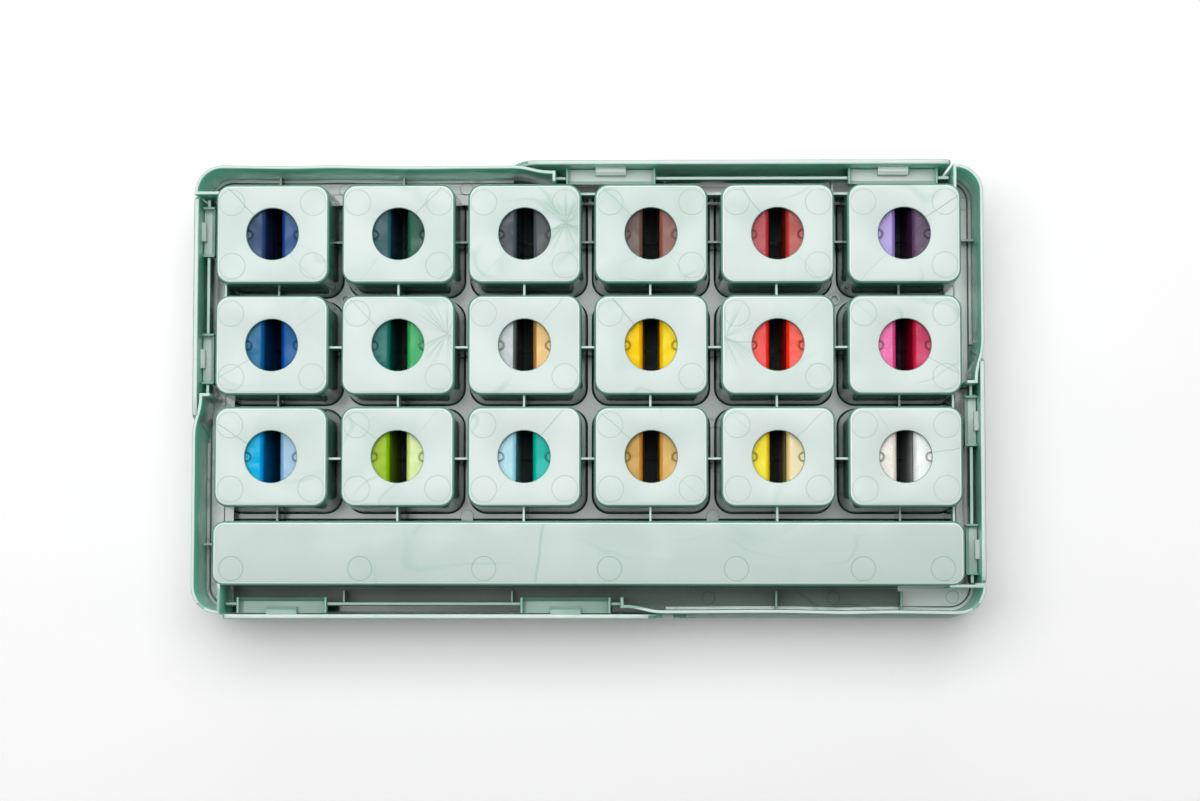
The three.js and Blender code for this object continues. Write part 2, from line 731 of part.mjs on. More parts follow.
const PAINTS = {
  navy: '#424e72',
  ultramarine: '#37549a',
  petrol: '#47686e',
  bottle_green: '#3a7a5a',
  charcoal: '#54575c',
  graphite: '#5a5a5d',
  umber: '#7c6662',
  chestnut: '#97665c',
  crimson: '#c44f58',
  brick: '#c9584c',
  lavender: '#b9a2e2',
  aubergine: '#6f5472',
  denim: '#39699c',
  cobalt: '#1c66b6',
  pine: '#357d74',
  emerald: '#3daf5d',
  silver: '#bfc2c5',
  copper: '#e0ae6c',
  amber: '#ffbc12',
  yellow: '#ffd702',
  scarlet: '#f04746',
  vermilion: '#fa5442',
  pink: '#ef6caf',
  raspberry: '#d7436d',
  cerulean: '#12a6e0',
  powder_blue: '#98badb',
  lime: '#9bc326',
  pale_lime: '#cfe18a',
  ice_blue: '#b6dde9',
  turquoise: '#1fbba8',
  ochre: '#cc9e4a',
  sand: '#e8bc70',
  lemon: '#f4e045',
  cream: '#f0deb0',
  blush: '#eae1db',
  white: '#f2f2f0',
};
const colourNames = Object.keys(PAINTS);

const paintBox = new THREE.Group();
paintBox.add(toMesh('lid', lid(), plastic('#d3e2dc')));
paintBox.add(toMesh('base_tray', baseTray(), plastic('#d6e4df')));

const cupSolid = twinCup();
const fillSolid = paintFill();
cells.forEach(({ row, column }, index) => {
  const cell = new THREE.Group();
  cell.position.set(columnX(column), rowY(row), 0);
  const number = String(index + 1).padStart(2, '0');
  cell.add(toMesh(`twin_cup_${number}`, cupSolid, clearPlastic()));
  [-cupOffset, cupOffset].forEach((x, half) => {
    const name = colourNames[2 * index + half];
    const fill = toMesh(`paint_${number}_${name}`, fillSolid, wetPaint(PAINTS[name]));
    fill.position.x = x;
    cell.add(fill);
  });
  paintBox.add(cell);
});

export default paintBox;
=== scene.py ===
"""The looks of the paint box: fine mouldings, clear twin cups and thick paint.

Sizes are in millimetres here and become metres when a mesh is made. X runs along the box,
Y across it with the brush trough on the -Y side, and Z up from the lid's outer face.
"""

import math
import random

import bpy
from mathutils import Matrix, Vector, noise


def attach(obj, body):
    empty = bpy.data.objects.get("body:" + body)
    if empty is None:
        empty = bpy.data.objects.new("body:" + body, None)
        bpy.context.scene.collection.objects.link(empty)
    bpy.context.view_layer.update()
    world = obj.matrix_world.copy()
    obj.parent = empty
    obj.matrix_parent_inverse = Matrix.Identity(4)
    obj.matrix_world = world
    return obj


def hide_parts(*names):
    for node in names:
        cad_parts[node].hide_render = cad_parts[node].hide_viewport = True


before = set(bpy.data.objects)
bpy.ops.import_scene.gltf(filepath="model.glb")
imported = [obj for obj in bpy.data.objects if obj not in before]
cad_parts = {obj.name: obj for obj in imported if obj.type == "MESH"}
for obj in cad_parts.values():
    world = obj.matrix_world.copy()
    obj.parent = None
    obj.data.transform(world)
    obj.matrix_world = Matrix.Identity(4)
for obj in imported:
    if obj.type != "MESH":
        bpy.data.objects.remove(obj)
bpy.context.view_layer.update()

MM = 0.001
QUARTER = math.pi / 2

# The wells, the trough and the deck.
COLUMNS, ROWS = 6, 3
COLUMN_PITCH, ROW_PITCH, TOP_ROW = 47.5, 41.95, 58.2
WELL_WIDE, WELL_LONG, WELL_CORNER = 45.1, 40.0, 6.5
WELL_SIZE = (WELL_WIDE, WELL_LONG, WELL_CORNER)
WELL_DRAFT, WELL_WALL, WELL_EDGE = 1.3, 1.3, 1.5
TROUGH_Y, TROUGH_LONG, TROUGH_WIDE, TROUGH_CORNER = -61.8, 284.0, 26.8, 6.0
TROUGH_SIZE = (TROUGH_LONG, TROUGH_WIDE, TROUGH_CORNER)
TROUGH_DRAFT, TROUGH_WALL, TROUGH_EDGE = 1.45, 1.5, 1.5
PAD_TOP, PAD_THICK = 46.0, 1.6
DECK_LOW, DECK_HIGH = 4.4, 6.0

# The tray's walls, from the inner one to the outer one's middle line.
INNER_X, INNER_Y, INNER_WALL, INNER_CORNER = 143.8, 80.1, 1.2, 7.5
WALL_X, WALL_Y = INNER_X + INNER_WALL, INNER_Y + INNER_WALL
MIDDLE_X, MIDDLE_Y, MIDDLE_CORNER = 147.9, 83.9, 9.9
CORNER_X, CORNER_Y = MIDDLE_X - MIDDLE_CORNER, MIDDLE_Y - MIDDLE_CORNER
OUTER_WALL, OUTER_RIM, LATCH_RIM = 1.2, 45.0, 35.0
SHOULDER_LOW, GROOVE_FLOOR, SHOULDER_HIGH, RIDGE_HIGH = 12.3, 12.9, 13.9, 15.4

# The lid, its hooks and the pockets that they hold.
LID_X, LID_Y, LID_CORNER, LID_THICK = 148.6, 86.3, 11.5, 2.0
SKIRT_RIM, SKIRT_WALL, FLAP_WALL = 12.0, 2.4, 1.8
POCKET_LOW, POCKET_HIGH, POCKET_BACK = 31.4, 33.0, 1.8
HOOK_LOW, HOOK_HIGH, HOOK_SLOPE = 33.3, 37.5, 1.2
GAP = 0.3

# Small edges that most pieces share.
WALL_ROUND, RIB_ROUND = 0.3, 0.2

CELLS = [(row, column) for row in range(ROWS) for column in range(COLUMNS)]


def column_x(column):
    return (column - (COLUMNS - 1) / 2) * COLUMN_PITCH


def row_y(row):
    return TOP_ROW - row * ROW_PITCH


def gap_x(column):
    """The middle of the gap to the right of a column of wells."""
    return (column_x(column) + column_x(column + 1)) / 2


def gap_y(row):
    """The middle of the gap below a row of wells."""
    if row < ROWS - 1:
        return (row_y(row) + row_y(row + 1)) / 2
    return (row_y(row) - WELL_LONG / 2 + TROUGH_Y + TROUGH_WIDE / 2) / 2


class Side:
    """A side of the box, with places measured along it and out of it.

    The flap's rim runs from start to end, and its tail sweeps down before start. The outer
    wall goes from its free tip round the corner and meets the inner wall at bend.
    """

    def __init__(self, along, out, **sizes):
        self.along, self.out = Vector(along), Vector(out)
        vars(self).update(sizes)

    def plan(self, at, out):
        """The place in plan at a distance along the side and one out of it."""
        return tuple(self.along * at + self.out * out)[:2]

    def upright(self, out):
        """Turns (along, up, out) into the box's frame, from a distance out."""
        return turned_to(self.along, self.out, self.out * out)

    def across(self):
        """Turns (out, up, along) into the box's frame."""
        return turned_to(self.out, self.along)


def turned_to(first, third, origin=(0, 0, 0)):
    """A turn that lays (first, up, third) along the box's own directions."""
    turn = Matrix.Identity(4)
    for index, column in enumerate((first, (0, 0, 1), third, origin)):
        turn.col[index][:3] = column
    return turn


LONG = Side(
    along=(1, 0, 0), out=(0, 1, 0), inner=INNER_Y, wall=WALL_Y, middle=MIDDLE_Y, lid=LID_Y,
    tip=9.0 - INNER_X, corner=MIDDLE_CORNER - MIDDLE_X, bend=-12.8,
    start=-19.0, end=136.8, sweep=22.0, latches=(8.5, 115.46), pocket=34.0, hook=11.6,
)
SHORT = Side(
    along=(0, -1, 0), out=(1, 0, 0), inner=INNER_X, wall=WALL_X, middle=MIDDLE_X, lid=LID_X,
    tip=8.4 - INNER_Y, corner=MIDDLE_CORNER - MIDDLE_Y, bend=-2.34,
    start=-9.24, end=72.8, sweep=9.0, latches=(11.84, 60.21), pocket=19.2, hook=7.3,
)
SIDES = (LONG, SHORT)


# Outlines in plan.


def arc(centre, radius, start, end, steps=14):
    """Points on part of a circle, between two angles."""
    angles = [start + (end - start) * step / steps for step in range(steps + 1)]
    return [(centre[0] + radius * math.cos(a), centre[1] + radius * math.sin(a)) for a in angles]


def circle(centre, radius, count):
    return arc(centre, radius, 0, 4 * QUARTER, count)[:-1]


def rounded(width, depth, corner, steps=10, centre=(0.0, 0.0)):
    """A rounded rectangle, counter-clockwise."""
    points = []
    for quarter, (sx, sy) in enumerate([(1, 1), (-1, 1), (-1, -1), (1, -1)]):
        middle = (centre[0] + sx * (width / 2 - corner), centre[1] + sy * (depth / 2 - corner))
        points += arc(middle, corner, quarter * QUARTER, (quarter + 1) * QUARTER, steps)
    return points


def boxed(x0, x1, y0, y1):
    return [(x0, y0), (x1, y0), (x1, y1), (x0, y1)]


def lifted(outline, z):
    return [(x, y, z) for x, y in outline]


def bezier(a, b, c, d, steps=12):
    points = []
    for step in range(steps + 1):
        t = step / steps
        weights = ((1 - t) ** 3, 3 * t * (1 - t) ** 2, 3 * t * t * (1 - t), t ** 3)
        points.append(tuple(sum(w * p[k] for w, p in zip(weights, (a, b, c, d))) for k in range(2)))
    return points


def ribbon(path, thickness):
    """The outline of a wall of even thickness, from its middle line in plan."""
    nearest = 0.05
    line = [Vector(point) for point in path]
    line = [p for i, p in enumerate(line) if i == 0 or (p - line[i - 1]).length > nearest]
    right, left = [], []
    for i, point in enumerate(line):
        arriving = (point - line[max(i - 1, 0)]).normalized()
        leaving = (line[min(i + 1, len(line) - 1)] - point).normalized()
        along = (arriving + leaving).normalized()
        mitre = along.dot(leaving if i == 0 else arriving)
        across = Vector((along.y, -along.x)) * (thickness / 2 / mitre)
        right.append(tuple(point + across))
        left.append(tuple(point - across))
    return right + left[::-1]


def spaced(path, spacing):
    """A path with points no further apart than spacing."""
    points = [Vector(path[0])]
    for point in path[1:]:
        start, end = points[-1], Vector(point)
        count = max(1, math.ceil((end - start).length / spacing))
        points += [start.lerp(end, step / count) for step in range(1, count + 1)]
    return [tuple(point) for point in points]


def quarter_round(radius, steps):
    """(how far in, how far up) on a quarter circle that starts upright."""
    angles = [QUARTER * step / steps for step in range(steps + 1)]
    return [(radius * (1 - math.cos(a)), radius * math.sin(a)) for a in angles]


# Meshes.

SHARP = math.radians(38)


class Skin:
    """Points, faces and the finish of each face of one piece, in millimetres."""

    def __init__(self):
        self.points, self.faces, self.looks = [], [], []
        self.places = {}

    def loft(self, rings, looks, start_cap=False, end_cap=False, place=None):
        """A skin through closed rings, with one finish or one for each ring."""
        base, count = len(self.points), len(rings[0])
        if isinstance(looks, int):
            looks = [looks] * len(rings)
        for ring in rings:
            self.points += [tuple(point) for point in ring]
        for k in range(len(rings) - 1):
            for i in range(count):
                here, there = base + k * count + i, base + k * count + (i + 1) % count
                self.faces.append((here, there, there + count, here + count))
                self.looks.append(looks[k])
        if start_cap:
            self.faces.append(tuple(base + i for i in reversed(range(count))))
            self.looks.append(looks[0])
        if end_cap:
            last = base + (len(rings) - 1) * count
            self.faces.append(tuple(last + i for i in range(count)))
            self.looks.append(looks[-1])
        if place is not None:
            for index in range(base, len(self.points)):
                self.places[index] = place
        return self

    def slab(self, outlines, low, high, edge, look, turn=None):
        """A plate between two levels with rounded edges, from outlines in plan."""
        curve = bpy.data.curves.new("slab", "CURVE")
        curve.dimensions, curve.fill_mode = "2D", "BOTH"
        curve.extrude = (high - low) / 2 - edge
        curve.bevel_depth, curve.bevel_resolution, curve.offset = edge, 2, -edge
        for outline in outlines:
            spline = curve.splines.new("POLY")
            spline.points.add(len(outline) - 1)
            for point, (x, y) in zip(spline.points, outline):
                point.co = (x, y, 0, 1)
            spline.use_cyclic_u = True
        carrier = bpy.data.objects.new("slab", curve)
        mesh = bpy.data.meshes.new_from_object(carrier)
        move = (turn or Matrix.Identity(4)) @ Matrix.Translation((0, 0, (low + high) / 2))
        self.take(mesh, look, move)
        bpy.data.objects.remove(carrier)
        bpy.data.curves.remove(curve)
        bpy.data.meshes.remove(mesh)
        return self

    def take(self, mesh, look, move):
        """Adds a moved mesh, with one finish or one worked out from normal and centre."""
        base = len(self.points)
        self.points += [tuple(move @ vertex.co) for vertex in mesh.vertices]
        flip = move.determinant() < 0
        spin = move.to_3x3().normalized()
        for polygon in mesh.polygons:
            face = [base + index for index in polygon.vertices]
            self.faces.append(tuple(face[::-1] if flip else face))
            normal, centre = spin @ polygon.normal, move @ polygon.center
            self.looks.append(look if isinstance(look, int) else look(normal, centre))

    def join(self, other):
        """Adds all of another skin."""
        base = len(self.points)
        self.points += other.points
        self.faces += [tuple(base + index for index in face) for face in other.faces]
        self.looks += other.looks
        return self

    def turned(self):
        """Adds a copy of everything so far, turned half a turn about Z."""
        copy = Skin()
        copy.points = [(-x, -y, z) for x, y, z in self.points]
        copy.faces, copy.looks = list(self.faces), list(self.looks)
        return self.join(copy)

    def build(self, name, materials, body=None, move=(0, 0, 0)):
        """Makes the piece and rides it on a body."""
        mesh = bpy.data.meshes.new(name)
        mesh.from_pydata([Vector(point) * MM for point in self.points], [], self.faces)
        for material in materials:
            mesh.materials.append(material)
        mesh.polygons.foreach_set("material_index", self.looks)
        if self.places:
            for key in ("place", "knit", "star"):
                layer = mesh.attributes.new(key, "FLOAT_VECTOR", "POINT")
                for index, place in self.places.items():
                    layer.data[index].vector = place(self.points[index])[key]
        mesh.validate()
        mesh.shade_smooth()
        mesh.set_sharp_from_angle(angle=SHARP)
        piece = bpy.data.objects.new(name, mesh)
        piece.location = Vector(move) * MM
        bpy.context.scene.collection.objects.link(piece)
        if body:
            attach(piece, body)
        return piece


# Finishes.


class Graph:
    """A material's nodes, with short ways to join them."""

    def __init__(self, name):
        self.material = bpy.data.materials.new(name)
        self.material.use_nodes = True
        self.tree = self.material.node_tree
        self.shader = self.tree.nodes["Principled BSDF"]
        self.output = self.tree.nodes["Material Output"]
        self.where = self.made("ShaderNodeTexCoord", output="Object")

    def node(self, kind, **settings):
        node = self.tree.nodes.new(kind)
        for key, value in settings.items():
            setattr(node, key, value)
        return node

    def feed(self, socket, value):
        if isinstance(value, bpy.types.NodeSocket):
            self.tree.links.new(value, socket)
        elif value is not None:
            socket.default_value = value

    def made(self, kind, keys=(), values=(), output=0, **settings):
        """One output of a new node, with its inputs fed by sockets or numbers."""
        node = self.node(kind, **settings)
        for key, value in zip(keys, values):
            self.feed(node.inputs[key], value)
        return node.outputs[output]

    def math(self, operation, *values):
        return self.made("ShaderNodeMath", range(3), values, operation=operation)

    def times(self, a, b):
        return self.math("MULTIPLY", a, b)

    def plus(self, a, b):
        return self.math("ADD", a, b)

    def minus(self, a, b):
        return self.math("SUBTRACT", a, b)

    def most(self, a, b):
        return self.math("MAXIMUM", a, b)

    def least(self, values):
        result = values[0]
        for value in values[1:]:
            result = self.math("MINIMUM", result, value)
        return result

    def vector(self, operation, *values):
        output = "Value" if operation in ("DISTANCE", "LENGTH") else "Vector"
        return self.made("ShaderNodeVectorMath", range(3), values, output, operation=operation)

    def scaled(self, vector, factors):
        return self.vector("MULTIPLY", vector, factors)

    def parts(self, vector):
        node = self.node("ShaderNodeSeparateXYZ")
        self.feed(node.inputs[0], vector)
        return node.outputs

    def join(self, x, y, z=0.0):
        return self.made("ShaderNodeCombineXYZ", range(3), (x, y, z))

    def attribute(self, name):
        return self.made("ShaderNodeAttribute", output="Vector", attribute_name=name)

    def noise(self, vector, scale, detail=3.0, rough=0.5, distortion=0.0):
        keys = ("Vector", "Scale", "Detail", "Roughness", "Distortion")
        return self.made("ShaderNodeTexNoise", keys, (vector, scale, detail, rough, distortion), "Fac")

    def step(self, value, start, end, low=0.0, high=1.0):
        """low up to start, high from end on, and smooth between them."""
        keys, values = ("Value", "From Min", "From Max", "To Min", "To Max"), (value, start, end, low, high)
        return self.made("ShaderNodeMapRange", keys, values, interpolation_type="SMOOTHSTEP")

    def line(self, value, middle, width, peak=1.0):
        """peak where a value is at its middle, and 0 from a width away."""
        off = self.math("ABSOLUTE", self.minus(value, middle))
        return self.step(off, 0.0, width, peak, 0.0)

    def patches(self, vector, scale, start, end):
        """Broad cloudy patches, from 0 to 1."""
        return self.step(self.noise(vector, scale, 1.0), start, end)

    def blend(self, factor, a, b):
        return self.made("ShaderNodeMix", (0, 6, 7), (factor, a, b), 2, data_type="RGBA")

    def bump(self, height, distance, normal=None, strength=1.0):
        keys = ("Height", "Distance", "Strength", "Normal")
        return self.made("ShaderNodeBump", keys, (height, distance, strength, normal))

    def set(self, **values):
        """Sets the shader's sockets, each named with _ for its spaces."""
        for key, value in values.items():
            self.feed(self.shader.inputs[key.replace("_", " ")], value)
        return self.material


def tint(code):
    """A colour as written, from its six hex digits."""
    channels = [int(code[i : i + 2], 16) / 255 for i in (1, 3, 5)]
    return (*(c / 12.92 if c <= 0.04045 else ((c + 0.055) / 1.055) ** 2.4 for c in channels), 1.0)


def each(colour, change):
    """A colour with the same change made to its three channels."""
    return (*(change(channel) for channel in colour[:3]), 1.0)


def flow(graph, seed, scale):
    """Thin streaks where the melt folded, as 0 to 1."""
    moved = graph.vector("ADD", graph.scaled(graph.where, (0.6, 1.0, 1.0)), (seed, seed * 0.7, seed * 0.3))
    warp = graph.noise(moved, scale * 0.6, 2.0)
    bent = graph.vector("ADD", moved, graph.scaled(graph.join(warp, warp, warp), (0.02, 0.03, 0.01)))
    return graph.line(graph.noise(bent, scale, 1.2, 0.4, 0.5), 0.5, 0.028)


# Where the painted shade at a wall's foot fades out in Z, and where the painted shadow beyond the bar sets
# in along Y.
WALL_FOOT_SHADE_FADE, SHADE_FADE = (12.0, 44.0), (-75.5, -73.5)


def moulded(name, colour, deep, rough, marks=None, streaks=0.25, shine=0.5, foot=None, shade=None, glow=0.0):
    """Moulded mint plastic: cloudy tint, flow streaks, faint sheen changes and marks.

    foot is a painted shade low on a wall, shade a painted shadow beyond the bar; glow lets light through.
    """
    graph = Graph("mint_" + name)
    where, plain, dark = graph.where, tint(colour), tint(deep)
    cloud = graph.step(graph.noise(where, 22.0, 3.0, 0.55, 0.6), 0.35, 0.7)
    broad = graph.times(flow(graph, 3.1, 18.0), graph.patches(where, 16.0, 0.48, 0.6))
    fine = graph.times(flow(graph, 7.7, 44.0), graph.patches(where, 27.0, 0.5, 0.62))
    streak = graph.most(graph.times(broad, 0.5), fine)
    base = graph.blend(cloud, plain, graph.blend(0.16, plain, dark))
    base = graph.blend(graph.times(streak, streaks), base, dark)
    _, across, up = graph.parts(where)
    if foot:
        # Painted shade: darker low on a wall, fading out upwards.
        base = graph.blend(graph.step(up, *(height * MM for height in WALL_FOOT_SHADE_FADE)), tint(foot), base)
    if shade:
        # Painted shadow: darker beyond the bar, fading out towards the wells.
        base = graph.blend(graph.step(across, *(place * MM for place in SHADE_FADE)), tint(shade), base)
    gloss = graph.step(graph.noise(where, 60.0), 0.3, 0.7, rough * 0.7, rough * 1.2)
    grain = graph.noise(where, 900.0, 2.0, 0.6)
    normal = graph.bump(grain, 0.02 * MM, strength=min(0.35, rough))
    if marks:
        line, height = marks(graph)
        base = graph.blend(graph.times(line, 0.75), base, dark)
        normal = graph.bump(height, 0.12 * MM, normal)
    graph.set(Base_Color=base, Roughness=gloss, Normal=normal, IOR=1.46, Specular_IOR_Level=shine)
    return graph.set(Subsurface_Weight=glow, Subsurface_Radius=(1.0, 1.0, 1.0), Subsurface_Scale=3.0 * MM)


def distances(graph, here, places):
    """How far each of some places in plan is."""
    return [graph.vector("DISTANCE", here, (x * MM, y * MM, 0.0)) for x, y in places]


PAD_CIRCLE, PAD_CIRCLE_LINE = 4.85, 0.22
PAD_CIRCLES = ((-15.4, 11.8), (15.2, -12.0), (15.3, 11.8), (-15.1, -12.2))
KNIT_WIDTH, KNIT_START, SECOND_KNIT = 0.32, 2.0, 0.4
STAR_REACH = (1.0, 16.0)


def pad_circles(graph, here, corners):
    """Two ejector circles, and a third and fourth where corners is odd and over 1."""
    odd = graph.math("GREATER_THAN", graph.math("MODULO", corners, 2.0), 0.5)
    over = graph.math("GREATER_THAN", corners, 1.5)
    offs = distances(graph, here, PAD_CIRCLES)
    for index, shown in ((2, odd), (3, over)):
        offs[index] = graph.plus(offs[index], graph.minus(1.0, shown))
    return graph.line(graph.least(offs), PAD_CIRCLE * MM, PAD_CIRCLE_LINE * MM)


def pad_knits(graph, u, v):
    """Two knit lines that leave the finger hole, the first of them the stronger."""
    first, second, strength = graph.parts(graph.attribute("knit"))
    wobble = graph.times(graph.minus(graph.noise(graph.where, 90.0), 0.5), 2.2 * MM)
    lines = []
    for angle, share in ((first, 1.0), (second, SECOND_KNIT)):
        cos, sin = graph.math("COSINE", angle), graph.math("SINE", angle)
        along = graph.plus(graph.times(u, cos), graph.times(v, sin))
        across = graph.plus(graph.minus(graph.times(v, cos), graph.times(u, sin)), wobble)
        near = graph.line(across, 0.0, KNIT_WIDTH * MM, share)
        lines.append(graph.times(near, graph.step(along, 0.0, KNIT_START * MM)))
    return graph.times(graph.most(*lines), strength)


def pad_star(graph, u, v):
    """Rays of flow round one point of a pad."""
    star_u, star_v, shown = graph.parts(graph.attribute("star"))
    du, dv = graph.minus(u, star_u), graph.minus(v, star_v)
    bearing = graph.math("ARCTAN2", dv, du)
    reach = graph.vector("LENGTH", graph.join(du, dv))
    turn = graph.join(graph.math("COSINE", bearing), graph.math("SINE", bearing), reach)
    rays = graph.line(graph.noise(turn, 2.3, 2.0, 0.6), 0.5, 0.035)
    near, far = STAR_REACH
    return graph.times(graph.times(rays, graph.step(reach, near * MM, far * MM, 1.0, 0.0)), shown)


def pad_marks(graph):
    """A pad's ejector circles, knit lines and star, as (colour, height)."""
    u, v, corners = graph.parts(graph.attribute("place"))
    circles = graph.times(pad_circles(graph, graph.join(u, v), corners), 0.6)
    knit = graph.most(pad_knits(graph, u, v), pad_star(graph, u, v))
    height = graph.minus(graph.times(circles, -1.0), graph.times(knit, 0.5))
    return graph.most(circles, knit), height


BAR_MARK, BAR_MARKS_Y = 4.5, -67.6
BAR_MARKS = [(x, BAR_MARKS_Y) for x in (-133.3, -85.1, -38.7, 8.2, 55.5, 102.7, 132.4)]
SEAM_X, SEAM_LEAN, SEAM_WIDTH = -18.0445, 0.145, 0.9
FLOOR_MARK, MARK_LINE = 2.4, 0.25
FLOOR_MARKS = [
    (-94.8, 79.2), (-47.7, 79.8), (145.0, 73.6), (-144.0, -75.0),
    (45.8, -78.5), (93.7, -78.5), (139.3, -78.1),
]


def ring_marks(graph, places, radius):
    """The circles that ejector pins leave at set places, as (colour, height)."""
    x, y, _ = graph.parts(graph.where)
    nearest = graph.least(distances(graph, graph.join(x, y), places))
    line = graph.line(nearest, radius * MM, MARK_LINE * MM)
    return line, graph.times(line, -0.7)


def floor_marks(graph):
    return ring_marks(graph, FLOOR_MARKS, FLOOR_MARK)


def bar_marks(graph):
    """The bar's ejector circles and the seam where two fronts of melt met."""
    line, height = ring_marks(graph, BAR_MARKS, BAR_MARK)
    x, y, _ = graph.parts(graph.where)
    sway = graph.times(graph.minus(graph.noise(graph.where, 60.0, 2.0), 0.5), 3.0 * MM)
    off = graph.minus(graph.plus(x, sway), graph.times(graph.minus(y, TROUGH_Y * MM), SEAM_LEAN))
    return graph.most(line, graph.line(off, SEAM_X * MM, SEAM_WIDTH * MM, 0.7)), height


def clear_plastic(name, low, high, colour="#f6faf9"):
    """See-through plastic with fine scratches, between two roughnesses."""
    graph = Graph(name)
    scratch = graph.noise(graph.scaled(graph.where, (1.0, 0.12, 1.0)), 700.0, 2.0)
    normal = graph.bump(graph.noise(graph.where, 120.0, 2.0), 0.03 * MM, strength=0.4)
    graph.set(Base_Color=tint(colour), Roughness=graph.step(scratch, 0.35, 0.8, low, high), Normal=normal)
    return graph.set(IOR=1.06, Transmission_Weight=1.0)


FILL_TOP = 42.94
GATE, GATE_HIGHLIGHT = (1.6, 0.8), (0.75, 0.35)
TRAILS = {"silver": 0.5, "copper": 0.4, "cerulean": 0.35, "ochre": 0.35, "cobalt": 0.25, "sand": 0.3}
SIDE_SHADE_SHARES = {"silver": 0.18, "copper": 0.4}


def paint(name, colour):
    """Thick wet paint: soft blotches, dark trails, small bubbles, the cup's gate mark with a paler middle as
    a painted highlight, and darker, deeper sides as painted shade.
    """
    graph = Graph("paint_" + name)
    where = graph.vector("ADD", graph.where, tuple(random.uniform(0, 1) for _ in range(3)))
    base = tint(colour)
    blotch = graph.noise(where, 110.0, 3.0, 0.55, 1.2)
    darker, paler = each(base, lambda c: c * 0.86), each(base, lambda c: c + (0.9 - c) * 0.04)
    body = graph.blend(graph.step(blotch, 0.35, 0.7), darker, paler)
    trail = graph.noise(graph.scaled(where, (1.0, 0.22, 1.0)), 520.0, 3.0, 0.6, 2.2)
    trail = graph.times(graph.line(trail, 0.5, 0.03), graph.patches(where, 60.0, 0.5, 0.66))
    body = graph.blend(graph.times(trail, TRAILS.get(name, 0.12)), body, each(base, lambda c: c * 0.45))
    bubble = graph.made("ShaderNodeTexVoronoi", ("Vector", "Scale"), (where, 260.0), "Distance")
    speck = graph.step(bubble, 0.0, 0.07, 1.0, 0.0)
    body = graph.blend(graph.times(speck, 0.25), body, each(base, lambda c: min(1.0, c + 0.2)))
    x, y, height = graph.parts(graph.where)
    middle = graph.vector("LENGTH", graph.join(x, y))
    gate, gate_highlight = (graph.line(middle, radius * MM, width * MM) for radius, width in (GATE, GATE_HIGHLIGHT))
    # The cup's gate mark as a dark ring, and inside it a paler ring, a painted highlight.
    body = graph.blend(graph.times(gate, 0.75), body, each(base, lambda c: c * 0.12))
    body = graph.blend(graph.times(gate_highlight, 0.45), body, each(base, lambda c: min(1.0, c + 0.15)))
    # The sides below the fill's top are darker and more saturated, a painted shade where the rounded edge
    # takes less light and shows no reflection.
    share, full = SIDE_SHADE_SHARES.get(name, 0.8), max(base[:3])
    side = each(base, lambda c: share * c * (c / full) ** 0.7)
    body = graph.blend(graph.step(height, (FILL_TOP - 0.05) * MM, (FILL_TOP - 0.015) * MM), side, body)
    graph.set(Base_Color=body, Roughness=graph.step(blotch, 0.3, 0.7, 0.28, 0.42), Specular_IOR_Level=0.0)
    return graph.set(Normal=graph.bump(blotch, 0.15 * MM, strength=0.3))


# The mint plastic's finishes, by what a face is: copies of one plastic, paler on tops and
# darker and greener on walls and steep edges, as painted light and shade. SIDE is the outer
# wall's inner face, SHADED_LIP a rounded edge's steep part, darker as painted shade, PAINTED_HIGHLIGHT a
# paler ring on that edge, a painted highlight, and SHADOW_FLOOR a dark plate on the floor below the bar, a
# painted shadow.
FACE, WALL, FLOOR, INSIDE, EDGE, BAR, SIDE, SHADED_LIP, PAINTED_HIGHLIGHT, SHELF, POCKET, RIM, HOOK, SHADOW_FLOOR = range(14)
MINT = [
    moulded("face", "#d1ddd9", "#86b7a3", 0.42, pad_marks, 0.32),
    # Well walls: a darker, greener copy of the plastic, darker still at the foot, as painted shade.
    moulded("wall", "#76b2a0", "#2f6f5d", 0.09, foot="#23564a"),
    # The deck, with a painted shadow beyond the bar.
    moulded("floor", "#bdcfc7", "#7fa596", 0.14, floor_marks, 0.6, shine=0.6, shade="#46625a"),
    moulded("inside", "#c9ddd5", "#8fbfab", 0.36),
    # Tops of ribs and walls, with a painted shadow beyond the bar.
    moulded("edge", "#c2d9cf", "#9cc4b4", 0.14, shade="#86aa9b"),
    # The bar is a little darker than the pads, a painted shade.
    moulded("bar", "#bfcec9", "#86b7a3", 0.4, bar_marks),
    moulded("side", "#8fd6c2", "#2f7f6a", 0.2, shine=0.15, glow=1.0),
    # Steep parts of rounded edges and end ribs, darker as painted shade.
    moulded("lip", "#7cae9f", "#3f7f6d", 0.16),
    # A paler ring on rounded edges, a painted highlight.
    moulded("painted_highlight", "#edf6f2", "#c9ddd5", 0.12),
    # The shelf and ridge tops are paler than the deck, painted light where the walls shade them.
    moulded("shelf", "#eff7f4", "#9cc4b4", 0.18, floor_marks, 0.6, shine=0.9),
    # Pocket floors, with a painted shadow beyond the bar.
    moulded("pocket", "#c0cec8", "#86b7a3", 0.2, shade="#7d9a8e"),
    moulded("rim", "#cddbd6", "#9cc4b4", 0.2),
    # Hook tops are paler as painted light where the flap shades them, with a painted shadow beyond the bar.
    moulded("hook", "#eef6f2", "#9cc4b4", 0.16, shade="#8fada1"),
    # A dark floor below the bar, a painted shadow.
    moulded("deep", "#728278", "#53665d", 0.3, floor_marks, 0.6, shine=0.15),
]

# How far up a face's normal points where the face counts as a top.
UPWARD = 0.35


def topped(top, rest):
    """A finish for faces that look up and another for the rest."""

    def look(normal, centre):
        return top if normal.z > UPWARD else rest

    return look


